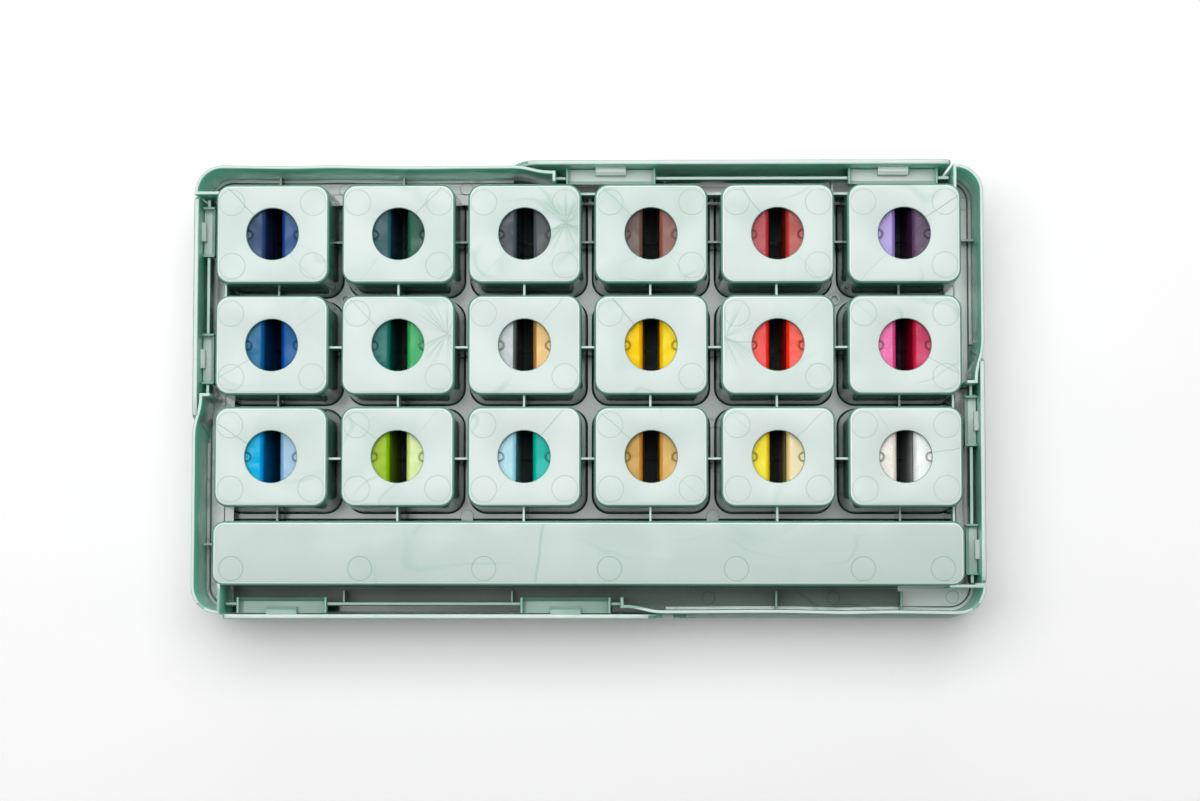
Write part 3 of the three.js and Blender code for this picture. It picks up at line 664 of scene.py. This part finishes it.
# Rib, ridge and hook tops take paler finishes than their sides, as painted light and shade.
RIB_LOOK, SHOULDER_LOOK = topped(EDGE, WALL), topped(WALL, INSIDE)
RIDGE_LOOK, HOOK_LOOK = topped(SHELF, WALL), topped(HOOK, SHADED_LIP)


def wall_look(normal, centre):
    """A wall's finish: its own on top, deep where it looks into the box, plain outside."""
    outside = normal.x * centre.x + normal.y * centre.y > 0
    if normal.z > UPWARD:
        beyond = abs(centre.x) > WALL_X + 1.0 or abs(centre.y) > WALL_Y + 1.0
        if beyond:
            # The rim's outer slope is darker, a painted shade.
            return SHADED_LIP if outside and normal.z < 0.75 else RIM
        return EDGE
    return FACE if outside and abs(normal.z) < 0.9 else SIDE


# The wells and the trough.

WALL_LEVELS = (12.0, 20.0, 28.0, 36.0, 41.0)
FOOT_ROUND, INSIDE_ROUND, INSIDE_BEND, INSIDE_MIDDLE, MOUTH_ROUND = 0.5, 1.0, 0.3, 24.0, 0.3
HOLE = 9.8
# How far out of the hole and how far down each ring of its rounded lip is.
HOLE_LIP = (
    (0.45, 0.0), (0.2, 0.08), (0.04, 0.25), (0.0, 0.5), (0.0, PAD_THICK - 0.2), (0.2, PAD_THICK),
)


def well_outline(x, y, inset, size):
    """A rounded rectangle with its straight sides cut into nine."""
    wide, long, corner = size
    steps, cuts = 8, 9
    points = rounded(wide - 2 * inset, long - 2 * inset, max(corner - inset, 0.5), steps, (x, y))
    full = []
    for i, point in enumerate(points):
        full.append(point)
        if i % (steps + 1) == steps:
            after = points[(i + 1) % len(points)]
            full += [tuple(Vector(point).lerp(after, k / cuts)) for k in range(1, cuts)]
    return full


def upstand(skin, x, y, size, draft, wall, edge, flat, hole=False, place=None):
    """A well or the trough: up from the deck, over the top and down inside."""

    def lean(z):
        return draft * (z - DECK_LOW) / (PAD_TOP - DECK_LOW)

    rings, looks = [], []

    def add(inset, z, look):
        rings.append(lifted(well_outline(x, y, inset, size), z))
        looks.append(look)

    for inward, up in quarter_round(FOOT_ROUND, 4):
        add(-(FOOT_ROUND - up), DECK_HIGH + inward, WALL)
    for z in WALL_LEVELS:
        add(lean(z), z, WALL)
    top = PAD_TOP - edge
    # Round the pad's edge the steep rings are darker as painted shade, and one ring is paler as a painted
    # highlight.
    edge_looks = (SHADED_LIP, SHADED_LIP, SHADED_LIP, SHADED_LIP, PAINTED_HIGHLIGHT, flat, flat)
    for look, (inward, up) in zip(edge_looks, quarter_round(edge, 6)):
        add(lean(top) + inward, top + up, look)
    if hole:
        angles = [math.atan2(py - y, px - x) for px, py, _ in rings[-1]]
        for out, down in HOLE_LIP:
            lip = [(x + (HOLE + out) * math.cos(a), y + (HOLE + out) * math.sin(a)) for a in angles]
            rings.append(lifted(lip, PAD_TOP - down))
        # The hole's rounded lip is darker too, a painted shade.
        looks += [flat] + [SHADED_LIP] * (len(HOLE_LIP) - 2) + [INSIDE]
    else:
        skin.loft(rings, looks, end_cap=True)
        rings.clear()
        looks.clear()
    under = PAD_TOP - PAD_THICK
    add(wall + lean(under) + INSIDE_ROUND, under, INSIDE)
    add(wall + lean(under) + INSIDE_BEND, under - INSIDE_BEND, INSIDE)
    for z in (under - INSIDE_ROUND, INSIDE_MIDDLE, DECK_LOW + MOUTH_ROUND):
        add(wall + lean(z), z, INSIDE)
    add(wall - MOUTH_ROUND, DECK_LOW, INSIDE)
    add(wall / 2, DECK_LOW, INSIDE)
    skin.loft(rings, looks, start_cap=not hole, place=place)


# Bearings of each pad's knit lines in degrees, which pads have a third circle (1), a fourth
# (2) or both (3), and where some pads have a star, and how strong.
KNITS = [
    (135, -48), (48, -130), (10, -135), (135, -48), (130, -50), (38, -135),
    (-148, 35), (140, 8), (52, 52), (130, 130), (176, 45), (-30, 140),
    (146, 146), (140, 50), (52, -125), (140, -40), (42, 135), (10, 120),
]
MORE_CIRCLES = {0: 3, 1: 1, 2: 1, 3: 1, 4: 1, 5: 1, 6: 2, 11: 1, 12: 2, 13: 2, 14: 2, 15: 2, 16: 2, 17: 3}
STARS = {2: (15.5, 4.1, 0.9), 7: (18.6, 4.1, 0.9), 10: (-19.7, 2.8, 0.9)}


def make_wells():
    random.seed(11)
    skin = Skin()
    for index, (row, column) in enumerate(CELLS):
        x, y = column_x(column), row_y(row)
        first, second = (math.radians(angle + random.uniform(-3, 3)) for angle in KNITS[index])
        knit = (first, second, random.uniform(0.6, 1.0))
        corners = MORE_CIRCLES.get(index, 0)
        u, v, shown = STARS.get(index, (0, 0, 0))
        star = (u * MM, v * MM, shown)

        def place(point, x=x, y=y, corners=corners, knit=knit, star=star):
            return {"place": ((point[0] - x) * MM, (point[1] - y) * MM, corners), "knit": knit, "star": star}

        upstand(skin, x, y, WELL_SIZE, WELL_DRAFT, WELL_WALL, WELL_EDGE, FACE, True, place)
    return skin.build("tray_wells", MINT, "tray")


def make_trough():
    skin = Skin()
    upstand(skin, 0.0, TROUGH_Y, TROUGH_SIZE, TROUGH_DRAFT, TROUGH_WALL, TROUGH_EDGE, BAR)
    return skin.build("tray_trough", MINT, "tray")


# The deck and the walls round it.


def inner_wall_outline():
    return rounded(2 * INNER_X + INNER_WALL, 2 * INNER_Y + INNER_WALL, INNER_CORNER)


def make_deck():
    outlines = [inner_wall_outline()]
    for row, column in CELLS:
        outlines.append(well_outline(column_x(column), row_y(row), WELL_WALL / 2, WELL_SIZE))
    outlines.append(well_outline(0, TROUGH_Y, TROUGH_WALL / 2, TROUGH_SIZE))
    return Skin().slab(outlines, DECK_LOW, DECK_HIGH, 0.0, FLOOR).build("tray_deck", MINT, "tray")


def stretch(side, start, end):
    """The inner wall's outline in plan between two places along a side."""
    places = ((start, side.inner), (end, side.inner), (end, side.wall), (start, side.wall))
    return [side.plan(*place) for place in places]


def pocket_span(side, centre):
    return centre - side.pocket / 2, centre + side.pocket / 2


def make_inner_wall():
    """Tall between the latch pockets, low behind them, and all round from the deck up."""
    skin = Skin()
    for side in SIDES:
        spans = [pocket_span(side, centre) for centre in side.latches]
        ends = [side.bend, *(end for span in spans for end in span), side.end]
        for start, end in zip(ends[::2], ends[1::2]):
            skin.slab([stretch(side, start, end)], SHOULDER_LOW, LATCH_RIM, WALL_ROUND, RIB_LOOK)
        for span in spans:
            skin.slab([stretch(side, *span)], SHOULDER_LOW, POCKET_LOW + 0.3, 0.0, WALL)
    skin.turned()
    outlines = [
        rounded(2 * WALL_X, 2 * WALL_Y, INNER_CORNER + INNER_WALL),
        rounded(2 * INNER_X, 2 * INNER_Y, INNER_CORNER),
    ]
    skin.slab(outlines, DECK_LOW, SHOULDER_HIGH - 0.1, 0.0, WALL)
    return skin.build("tray_inner_wall", MINT, "tray")


BOW, BOW_EASE = 0.9, 30


def bow(point):
    """The long walls wander a little in plan, as the moulding cooled."""
    x, y = point
    sway = noise.noise(Vector((x * 0.021, y * 0.013 + 5.0, 0.3))) * BOW
    ease = min(1.0, max(0.0, (CORNER_X - abs(x)) / BOW_EASE)) if abs(y) > abs(x) * 0.5 else 0.0
    return (x, y - math.copysign(abs(sway) * ease, y))


# The outer wall swings in over a length and lands a little out from the inner wall.
SWING, LANDING, WALL_STEP = 16.5, 0.4, 6.0


def corner_path(side, inset=0.0):
    """The outer wall's middle line, or one inside it, round a corner and along a side."""
    line, centre = side.middle - inset, (side.corner, side.middle - MIDDLE_CORNER)
    path = arc(centre, MIDDLE_CORNER - inset, 2 * QUARTER, QUARTER)
    return path + spaced([(side.corner, line), (side.bend - SWING, line)], WALL_STEP)


def wall_path(side):
    """The middle line of a stretch of outer wall, from its tip to the inner wall."""
    line, landing = side.middle, side.wall + LANDING
    start, middle, end = side.bend - SWING, side.bend - SWING / 2, side.bend
    path = [(side.tip, line - MIDDLE_CORNER)] + corner_path(side)
    path += bezier((start, line), (middle, line), (middle, landing), (end, landing))
    return path + [(end, side.inner - POCKET_BACK)]


def wall_outline(side, path, thickness):
    return ribbon([bow(side.plan(*point)) for point in path], thickness)


SHELF_X, SHELF_Y, SHELF_CORNER, SHELF_LOW, SHELF_ROUND = 145.7, 81.7, 7.8, 12.5, 0.15
SHELF_HOLE, SHELF_HOLE_MIDDLE = (280.8, 151.6, 6.0), (0.0, 1.5)
# A mouth plate's half width at its root and its tip, and where they are.
TOP_MOUTH, SIDE_MOUTH = ((4.6, 77.7), (1.9, 73.4)), ((4.6, 140.9), (2.2, 137.2))
# A thin dark plate on the shelf below the bar, a painted shadow: its extent, thickness and how far it stands
# proud.
SHADOW_PLATE, SHADOW_PLATE_THICK, SHADOW_PLATE_PROUD = (-137.0, 118.3, -81.6, -74.9), 0.2, 0.04
RIDGE_WIDE, RIDGE_LAP = 1.2, 0.02


def make_shelf():
    """The floor between the wells and the outer walls, with a ridge along the walls' foot."""
    outlines = [
        rounded(2 * SHELF_X, 2 * SHELF_Y, SHELF_CORNER),
        rounded(*SHELF_HOLE, centre=SHELF_HOLE_MIDDLE),
    ]
    skin = Skin().slab(outlines, SHELF_LOW, SHOULDER_HIGH, SHELF_ROUND, SHELF)
    (root, root_y), (tip, tip_y) = TOP_MOUTH
    mouths = []
    for x in map(gap_x, range(COLUMNS - 1)):
        mouths.append([(x + root, root_y), (x + tip, tip_y), (x - tip, tip_y), (x - root, root_y)])
    (root, root_x), (tip, tip_x) = SIDE_MOUTH
    for y in map(gap_y, range(ROWS)):
        for sign in (-1, 1):
            mouth = [(root_x, y - root), (tip_x, y - tip), (tip_x, y + tip), (root_x, y + root)]
            mouths.append([(sign * px, py) for px, py in mouth])
    for mouth in mouths:
        skin.slab([mouth], SHELF_LOW, SHOULDER_HIGH, 0.0, SHELF)
    # A dark plate below the bar, a painted shadow where the bar shades the floor.
    plate_low, plate_high = SHOULDER_HIGH - SHADOW_PLATE_THICK, SHOULDER_HIGH + SHADOW_PLATE_PROUD
    skin.slab([boxed(*SHADOW_PLATE)], plate_low, plate_high, 0.0, SHADOW_FLOOR)
    inset = OUTER_WALL / 2 + RIDGE_WIDE / 2 - RIDGE_LAP
    ridges = Skin()
    for side in SIDES:
        outline = wall_outline(side, corner_path(side, inset), RIDGE_WIDE)
        ridges.slab([outline], SHOULDER_LOW, RIDGE_HIGH, RIB_ROUND, RIDGE_LOOK)
    return skin.join(ridges.turned()).build("tray_shelf", MINT, "tray")


HOOK_ROOM = 0.8


def notches(side, edge):
    """The shoulder's edge along a side, with a step back behind each hook."""
    points, reach = [], side.hook / 2 + HOOK_ROOM
    for centre in side.latches[::-1]:
        low, high, back = centre - reach, centre + reach, side.wall - GAP
        points += [(high, edge), (high, back), (low, back), (low, edge)]
    return [side.plan(*point) for point in points]


def make_shoulder():
    """The step that stands on the lid's skirt."""
    flap_face, tail = SHORT.lid - FLAP_WALL - GAP, -(SHORT.start - SHORT.sweep) + GAP
    right = [(MIDDLE_X, -CORNER_Y), (MIDDLE_X, -SHORT.end - GAP), (flap_face, -SHORT.end - GAP)]
    right += notches(SHORT, flap_face)
    right += [(flap_face, tail), (MIDDLE_X, tail)]
    right += arc((CORNER_X, CORNER_Y), MIDDLE_CORNER, 0, QUARTER)
    right += notches(LONG, MIDDLE_Y)
    right += arc((-CORNER_X, CORNER_Y), MIDDLE_CORNER, QUARTER, 2 * QUARTER)
    whole = right + [(-x, -y) for x, y in right]
    skin = Skin().slab([whole, inner_wall_outline()], SHOULDER_LOW, GROOVE_FLOOR, 0.0, SHOULDER_LOOK)
    return skin.build("tray_shoulder", MINT, "tray")


FLAP_CORNER, FLAP_STEP = 3.0, 8.0


def flap_outline(side, low, clearance=0.0):
    """A flap in elevation: (place along the side, height)."""
    top, foot = OUTER_RIM + clearance, SKIRT_RIM + clearance
    start, end = side.start - clearance, side.end + clearance
    tail, middle = start - side.sweep, start - side.sweep / 2
    corner_s, corner_z = end - FLAP_CORNER, top - FLAP_CORNER
    points = [(tail, low), (end, low), (end, corner_z)]
    for angle in (0.4, 0.8, 1.2, 1.57):
        points.append((corner_s + FLAP_CORNER * math.cos(angle), corner_z + FLAP_CORNER * math.sin(angle)))
    points += spaced([(corner_s, top), (start, top)], FLAP_STEP)[1:]
    points += bezier((start, top), (middle, top), (middle, foot), (tail, foot), 16)[1:]
    return points


def cut_away(piece, cutter):
    """Takes one closed mesh out of another and deletes it."""
    modifier = piece.modifiers.new("cut", "BOOLEAN")
    modifier.object, modifier.operation, modifier.solver = cutter, "DIFFERENCE", "EXACT"
    bpy.context.view_layer.update()
    result = bpy.data.meshes.new_from_object(piece.evaluated_get(bpy.context.evaluated_depsgraph_get()))
    piece.modifiers.clear()
    piece.data = result
    bpy.data.objects.remove(cutter)


FLAP_ROOM = 6.0


def make_outer_walls():
    """Two stretches of wall and their turned copies, one cut away where a short flap lies."""
    plain, cut = (wall_outline(side, wall_path(side), OUTER_WALL) for side in SIDES)
    skin = Skin().slab([plain], SHOULDER_LOW, OUTER_RIM, WALL_ROUND, wall_look)
    bent = Skin().slab([cut], SHOULDER_LOW, OUTER_RIM, WALL_ROUND, FACE)
    wall = bent.build("bent_wall", MINT)
    turn = SHORT.upright(SHORT.lid - FLAP_WALL - GAP + FLAP_ROOM)
    room = Skin().slab([flap_outline(SHORT, 0.0, GAP)], -FLAP_ROOM, 0.0, 0.0, WALL, turn)
    cut_away(wall, room.build("room", MINT))
    skin.take(wall.data, wall_look, Matrix.Scale(1 / MM, 4))
    bpy.data.objects.remove(wall)
    return skin.turned().build("tray_outer_walls", MINT, "tray")


RIB = 0.9
POCKET_BACK_WIDE, POCKET_BACK_RISE, POCKET_RIB_RISE, POCKET_ROUND = 1.5, 2.6, 3.6, 0.15


def make_pockets():
    """Each latch pocket's floor, with its raised back, between two ribs."""
    skin = Skin()
    for side in SIDES:
        back, front = side.inner - POCKET_BACK, side.lid - FLAP_WALL - GAP
        floor = [
            (back, POCKET_LOW),
            (front, POCKET_LOW),
            (front, POCKET_HIGH),
            (back + POCKET_BACK_WIDE, POCKET_HIGH),
            (back, POCKET_HIGH + POCKET_BACK_RISE),
        ]
        rib = boxed(back, front, POCKET_LOW, POCKET_HIGH + POCKET_RIB_RISE)
        for centre in side.latches:
            low, high = pocket_span(side, centre)
            skin.slab([floor], low + 0.1, high - 0.1, POCKET_ROUND, POCKET, side.across())
            # The pocket's end ribs are darker, a painted shade.
            skin.slab([rib], low, low + RIB, RIB_ROUND, SHADED_LIP, side.across())
            skin.slab([rib], high - RIB, high, RIB_ROUND, SHADED_LIP, side.across())
    return skin.turned().build("tray_pockets", MINT, "tray")


LOW_RIB_TOP, TALL_RIB_TOP, WEB_TOP = 24.0, 41.5, 38.0
RIB_LOW = DECK_HIGH - 0.4
RIB_ASIDE_X, RIB_ASIDE_Y = 0.3, 0.55
# How far a rib reaches from the middle of its gap, into the wells' leaning walls.
RIB_REACH_X, RIB_REACH_Y, RIB_BURY = 2.8, 2.6, 1.6
WEB_HALF, TOP_WEB, SIDE_WEB = 5, (73.8, 74.8), (136.9, 137.9)
TOP_WEB_GAPS, RIGHT_WEBS, LEFT_WEB = range(2, 5), (-4.72, -47.05), (32.2, 42.2)
EDGE_RIB_START, SIDE_RIB_START, LATCH_RIBS = 76.0, 139.5, (29.24, 93.33)


def make_ribs():
    """Thin ribs between the wells, webs at the edge, and ribs out to the outer walls."""
    skin = Skin()
    half = RIB / 2

    def rib(x0, x1, y0, y1, top, low=RIB_LOW, onto=skin):
        onto.slab([boxed(x0, x1, y0, y1)], low, top, RIB_ROUND, RIB_LOOK)

    for row in range(ROWS):
        y = row_y(row) - RIB_ASIDE_Y
        top = TALL_RIB_TOP if row > 0 else LOW_RIB_TOP
        for x in map(gap_x, range(COLUMNS - 1)):
            rib(x - RIB_REACH_X, x + RIB_REACH_X, y - half, y + half, top)
    for column in range(COLUMNS):
        x = column_x(column) - RIB_ASIDE_X
        top = LOW_RIB_TOP if column in (0, COLUMNS - 1) else TALL_RIB_TOP
        for y in map(gap_y, range(ROWS - 1)):
            rib(x - half, x + half, y - RIB_REACH_Y, y + RIB_REACH_Y, top)
        trough_edge, well_edge = TROUGH_Y + TROUGH_WIDE / 2, row_y(ROWS - 1) - WELL_LONG / 2
        rib(x - half, x + half, trough_edge - RIB_BURY, well_edge + RIB_BURY, top)
    for x in map(gap_x, TOP_WEB_GAPS):
        rib(x - WEB_HALF, x + WEB_HALF, *TOP_WEB, WEB_TOP)
    for y in RIGHT_WEBS:
        rib(*SIDE_WEB, y - WEB_HALF, y + WEB_HALF, WEB_TOP)
    rib(*(-x for x in SIDE_WEB[::-1]), *LEFT_WEB, WEB_TOP)
    edge = Skin()
    for x in (column_x(0), column_x(1)):
        rib(x - half, x + half, EDGE_RIB_START, MIDDLE_Y, LOW_RIB_TOP, SHOULDER_LOW, edge)
    rib(SIDE_RIB_START, MIDDLE_X, TOP_ROW - half, TOP_ROW + half, LOW_RIB_TOP, SHOULDER_LOW, edge)
    for x in LATCH_RIBS:
        rib(x - half, x + half, EDGE_RIB_START, WALL_Y - 0.2, LOW_RIB_TOP, onto=edge)
    return skin.join(edge.turned()).build("tray_ribs", MINT, "tray")


BOSS_TOP, BOSS_RADIUS, BOSS_BORE = 8.4, 2.4, 1.2
DISC_TOP, DISC_RADIUS = 7.2, 2.6
BOSS_LOW = DECK_HIGH - 0.3


def make_bosses():
    """Two ring bosses and two discs on the deck, between the wells."""
    skin = Skin()
    for sign in (-1, 1):
        spot = (sign * 2 * COLUMN_PITCH, gap_y(0))
        ring = [circle(spot, BOSS_RADIUS, 32), circle(spot, BOSS_BORE, 24)]
        skin.slab(ring, BOSS_LOW, BOSS_TOP, RIB_ROUND, RIB_LOOK)
        disc = circle((sign * COLUMN_PITCH, gap_y(ROWS - 1)), DISC_RADIUS, 32)
        skin.slab([disc], BOSS_LOW, DISC_TOP, RIB_ROUND, RIB_LOOK)
    return skin.build("tray_bosses", MINT, "tray")


# The lid.

LID_EDGE, LID_INSET, SKIRT_ROUND, PLATE_ROUND = 1.3, 0.03, 0.4, 0.8


def make_lid():
    """The plate that the box lies on and the skirt that the tray's shoulder stands on."""

    def ring(inset, z):
        inset += LID_INSET
        return lifted(rounded(2 * (LID_X - inset), 2 * (LID_Y - inset), LID_CORNER - inset, 14), z)

    rings = [ring(LID_EDGE - up, inward) for inward, up in quarter_round(LID_EDGE, 5)]
    rings += [ring(0, SKIRT_RIM - SKIRT_ROUND), ring(0.15, SKIRT_RIM - 0.1), ring(0.5, SKIRT_RIM)]
    rings += [ring(SKIRT_WALL - SKIRT_ROUND, SKIRT_RIM), ring(SKIRT_WALL, SKIRT_RIM - 0.3)]
    rings += [ring(SKIRT_WALL, LID_THICK + PLATE_ROUND), ring(SKIRT_WALL + PLATE_ROUND, LID_THICK)]
    skin = Skin().loft(rings, INSIDE, start_cap=True, end_cap=True)
    return skin.build("lid_plate", MINT, "lid")


FLAP_ROUND, FLAP_FOOT = 0.5, LID_THICK + 0.5
HOOK_TIP, HOOK_BURY = 0.4, 0.6


def make_flaps():
    """A flap on each side, with a sloped hook over each latch pocket."""
    skin = Skin()
    for side in SIDES:
        outline = flap_outline(side, FLAP_FOOT)
        skin.slab([outline], -FLAP_WALL, 0.0, FLAP_ROUND, wall_look, side.upright(side.lid))
        root, tip = side.lid - FLAP_WALL + HOOK_BURY, side.wall + HOOK_TIP
        section = [
            (tip, HOOK_LOW),
            (root, HOOK_LOW),
            (root, HOOK_HIGH),
            (tip + HOOK_SLOPE, HOOK_HIGH),
            (tip, HOOK_HIGH - HOOK_SLOPE),
        ]
        half = side.hook / 2
        for centre in side.latches:
            skin.slab([section], centre - half, centre + half, RIB_ROUND, HOOK_LOOK, side.across())
    return skin.turned().build("lid_flaps", MINT, "lid")


# The twin cups and their paint.

CUP_WIDE, CUP_LONG, CUP_CORNER, CUP_DRAFT, CUP_WALL = 15.6, 35.0, 4.0, 1.2, 0.2
CUP_X, CUP_TOP, CUP_EDGE = 9.5, 43.2, 1.6
FLANGE_LOW, FLANGE_HIGH, FLANGE = 3.3, 4.1, (46.6, 41.5, 7.0)
CUP_WEB, CUP_WEB_TOP = (-2.8, 2.8, -0.4, 0.4), 15.5
CLEAR, FLANGE_LOOK = 0, 1
FILL_CLEARANCE, FILL_LOW = CUP_WALL + 0.06, FLANGE_LOW + 2.0


def cup_ring(z, inset):
    lean = CUP_DRAFT * (z - FLANGE_LOW) / (CUP_TOP - FLANGE_LOW) + inset
    return lifted(rounded(CUP_WIDE - 2 * lean, CUP_LONG - 2 * lean, max(CUP_CORNER - inset, 0.4), 7), z)


def make_cup_skin():
    """Two thin cups, outside and inside, the flange that joins them and a web between them."""
    low = CUP_TOP - CUP_EDGE
    outer = [cup_ring(FLANGE_HIGH, 0)]
    outer += [cup_ring(low + up, inward) for inward, up in quarter_round(CUP_EDGE, 7)]
    outer.append(cup_ring(CUP_TOP, CUP_EDGE + 0.25))
    inner = [cup_ring(CUP_TOP - CUP_WALL, CUP_EDGE + 0.3)]
    inner += [cup_ring(low + up, CUP_WALL + inward) for inward, up in quarter_round(CUP_EDGE, 7)[::-1]]
    inner.append(cup_ring(FLANGE_LOW, CUP_WALL))
    skin = Skin()
    plate = [rounded(*FLANGE)]
    for middle in (-CUP_X, CUP_X):
        skin.loft([[(x + middle, y, z) for x, y, z in ring] for ring in outer], CLEAR, end_cap=True)
        skin.loft([[(x + middle, y, z) for x, y, z in ring] for ring in inner], CLEAR, start_cap=True)
        plate.append([(x + middle, y) for x, y, _ in inner[-1]])
    skin.slab(plate, FLANGE_LOW, FLANGE_HIGH, 0.0, FLANGE_LOOK)
    return skin.slab([boxed(*CUP_WEB)], FLANGE_HIGH, CUP_WEB_TOP, 0.0, CLEAR)


def make_fill_skin():
    """One fill of paint, a little clear of its cup's wall."""
    clear, top = FILL_CLEARANCE, FILL_TOP - CUP_EDGE
    rings = [cup_ring(FILL_LOW + 0.15, clear + 1.2), cup_ring(FILL_LOW, clear + 0.4)]
    rings += [cup_ring(z, clear) for z in (FILL_LOW + 0.2, 15.0, 25.0, 33.0, 38.0)]
    rings += [cup_ring(top + up, clear + inward) for inward, up in quarter_round(CUP_EDGE, 8)]
    rings.append(cup_ring(FILL_TOP, clear + CUP_EDGE + 0.25))
    return Skin().loft(rings, 0, start_cap=True, end_cap=True)


# The paints in pairs, left and right, row by row from the top left cup.
PAINTS = [
    ("navy", "#3c4a66"), ("ultramarine", "#344e78"), ("petrol", "#38545a"), ("bottle_green", "#305246"),
    ("charcoal", "#464a4e"), ("graphite", "#484a4c"), ("umber", "#60504c"), ("chestnut", "#7e5c54"),
    ("crimson", "#a04c50"), ("brick", "#9c4e48"), ("lavender", "#9484b2"), ("aubergine", "#564458"),
    ("denim", "#245c80"), ("cobalt", "#1c5288"), ("pine", "#205c58"), ("emerald", "#409462"),
    ("silver", "#a8aaac"), ("copper", "#c8a26a"), ("amber", "#d8ae04"), ("yellow", "#d4b400"),
    ("scarlet", "#d04a44"), ("vermilion", "#d44e40"), ("pink", "#ce6494"), ("raspberry", "#b03656"),
    ("cerulean", "#0c96c0"), ("powder_blue", "#8aa4ba"), ("lime", "#849c14"), ("pale_lime", "#bec890"),
    ("ice_blue", "#9ec0ca"), ("turquoise", "#0c988e"), ("ochre", "#ac8644"), ("sand", "#bc985a"),
    ("lemon", "#d4c034"), ("cream", "#d0c09a"), ("blush", "#d0c8c2"), ("white", "#cecece"),
]


def make_cups():
    # The flange is tinted dark grey, a painted shade in the deep gaps between the cups.
    clear = [clear_plastic("clear_plastic", 0.03, 0.06), clear_plastic("shade_tinted_flange", 0.4, 0.6, "#56615e")]
    cup, fill = make_cup_skin(), make_fill_skin()
    for index, (row, column) in enumerate(CELLS):
        x, y = column_x(column), row_y(row)
        number = f"{index + 1:02d}"
        piece = cup.build("cup_" + number, clear, move=(x, y, 0))
        piece.visible_shadow = False
        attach(piece, "tray")
        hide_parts("twin_cup_" + number)
        for place, (name, colour) in zip((x - CUP_X, x + CUP_X), PAINTS[2 * index :]):
            node, finish = f"paint_{number}_{name}", [paint(name, colour)]
            piece = fill.build(f"fill_{number}_{name}", finish, move=(place, y, 0))
            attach(piece, "tray")
            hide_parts(node)


TRAY_PIECES = (
    make_trough, make_deck, make_inner_wall, make_shelf, make_shoulder,
    make_outer_walls, make_pockets, make_ribs, make_bosses,
)

wells = make_wells()
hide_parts("base_tray")
for make in TRAY_PIECES:
    piece = make()
    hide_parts("base_tray")
for make in (make_lid, make_flaps):
    piece = make()
    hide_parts("lid")
make_cups()


# The floor, the light and the camera, in metres.

WHITE = (1, 1, 1, 1)
FLOOR_SIZE, FLOOR_HEIGHT, FLOOR_GREY, FLOOR_GLOW = 30, -0.0002, (0.93, 0.93, 0.93, 1), 0.07


def make_floor():
    """A pale floor, a little brighter to the camera than to the box."""
    bpy.ops.mesh.primitive_plane_add(size=FLOOR_SIZE, location=(0, 0, FLOOR_HEIGHT))
    floor = bpy.context.object
    floor.name = "floor"
    graph = Graph("floor")
    graph.set(Base_Color=FLOOR_GREY, Roughness=0.9, Specular_IOR_Level=0.0)
    strength = graph.times(graph.made("ShaderNodeLightPath", output="Is Camera Ray"), FLOOR_GLOW)
    glow = graph.made("ShaderNodeEmission", ("Color", "Strength"), (WHITE, strength))
    both = graph.made("ShaderNodeAddShader", (0, 1), (graph.shader.outputs[0], glow))
    graph.feed(graph.output.inputs["Surface"], both)
    floor.data.materials.append(graph.material)


def lamp(name, location, target, size, energy):
    data = bpy.data.lights.new(name, "AREA")
    data.shape, data.size, data.size_y = "RECTANGLE", size[0], size[1]
    data.energy = energy
    piece = bpy.data.objects.new(name, data)
    piece.location = location
    piece.rotation_euler = (Vector(target) - Vector(location)).to_track_quat("-Z", "Y").to_euler()
    bpy.context.scene.collection.objects.link(piece)


make_floor()
lamp("key", (-0.1, 0.33, 1.27), (0, 0, 0), (1.4, 0.8), 13.4)
lamp("top", (0.0, 0.03, 1.3), (0, 0.03, 0), (0.6, 0.42), 1.7)
lamp("rim", (-0.1, 1.2, 0.55), (0, 0, 0), (1.6, 0.2), 4.0)
lamp("left", (-0.95, 0.0, 1.0), (0, 0, 0), (0.3, 0.8), 1.0)
lamp("right", (0.95, 0.0, 1.0), (0, 0, 0), (0.3, 0.8), 1.0)

world = bpy.data.worlds.new("studio")
bpy.context.scene.world = world
world.use_nodes = True
world.node_tree.nodes["Background"].inputs["Color"].default_value = WHITE
world.node_tree.nodes["Background"].inputs["Strength"].default_value = 0.15

camera = bpy.data.objects.new("camera", bpy.data.cameras.new("camera"))
camera.data.lens, camera.data.sensor_width = 82.35, 36.0
camera.location = (0.02175, -0.07338, 1.07072)
camera.rotation_euler = [math.radians(angle) for angle in (3.8333, 0.9564, 0.0259)]
bpy.context.scene.collection.objects.link(camera)
bpy.context.scene.camera = camera
bpy.context.scene.view_settings.view_transform = "Standard"
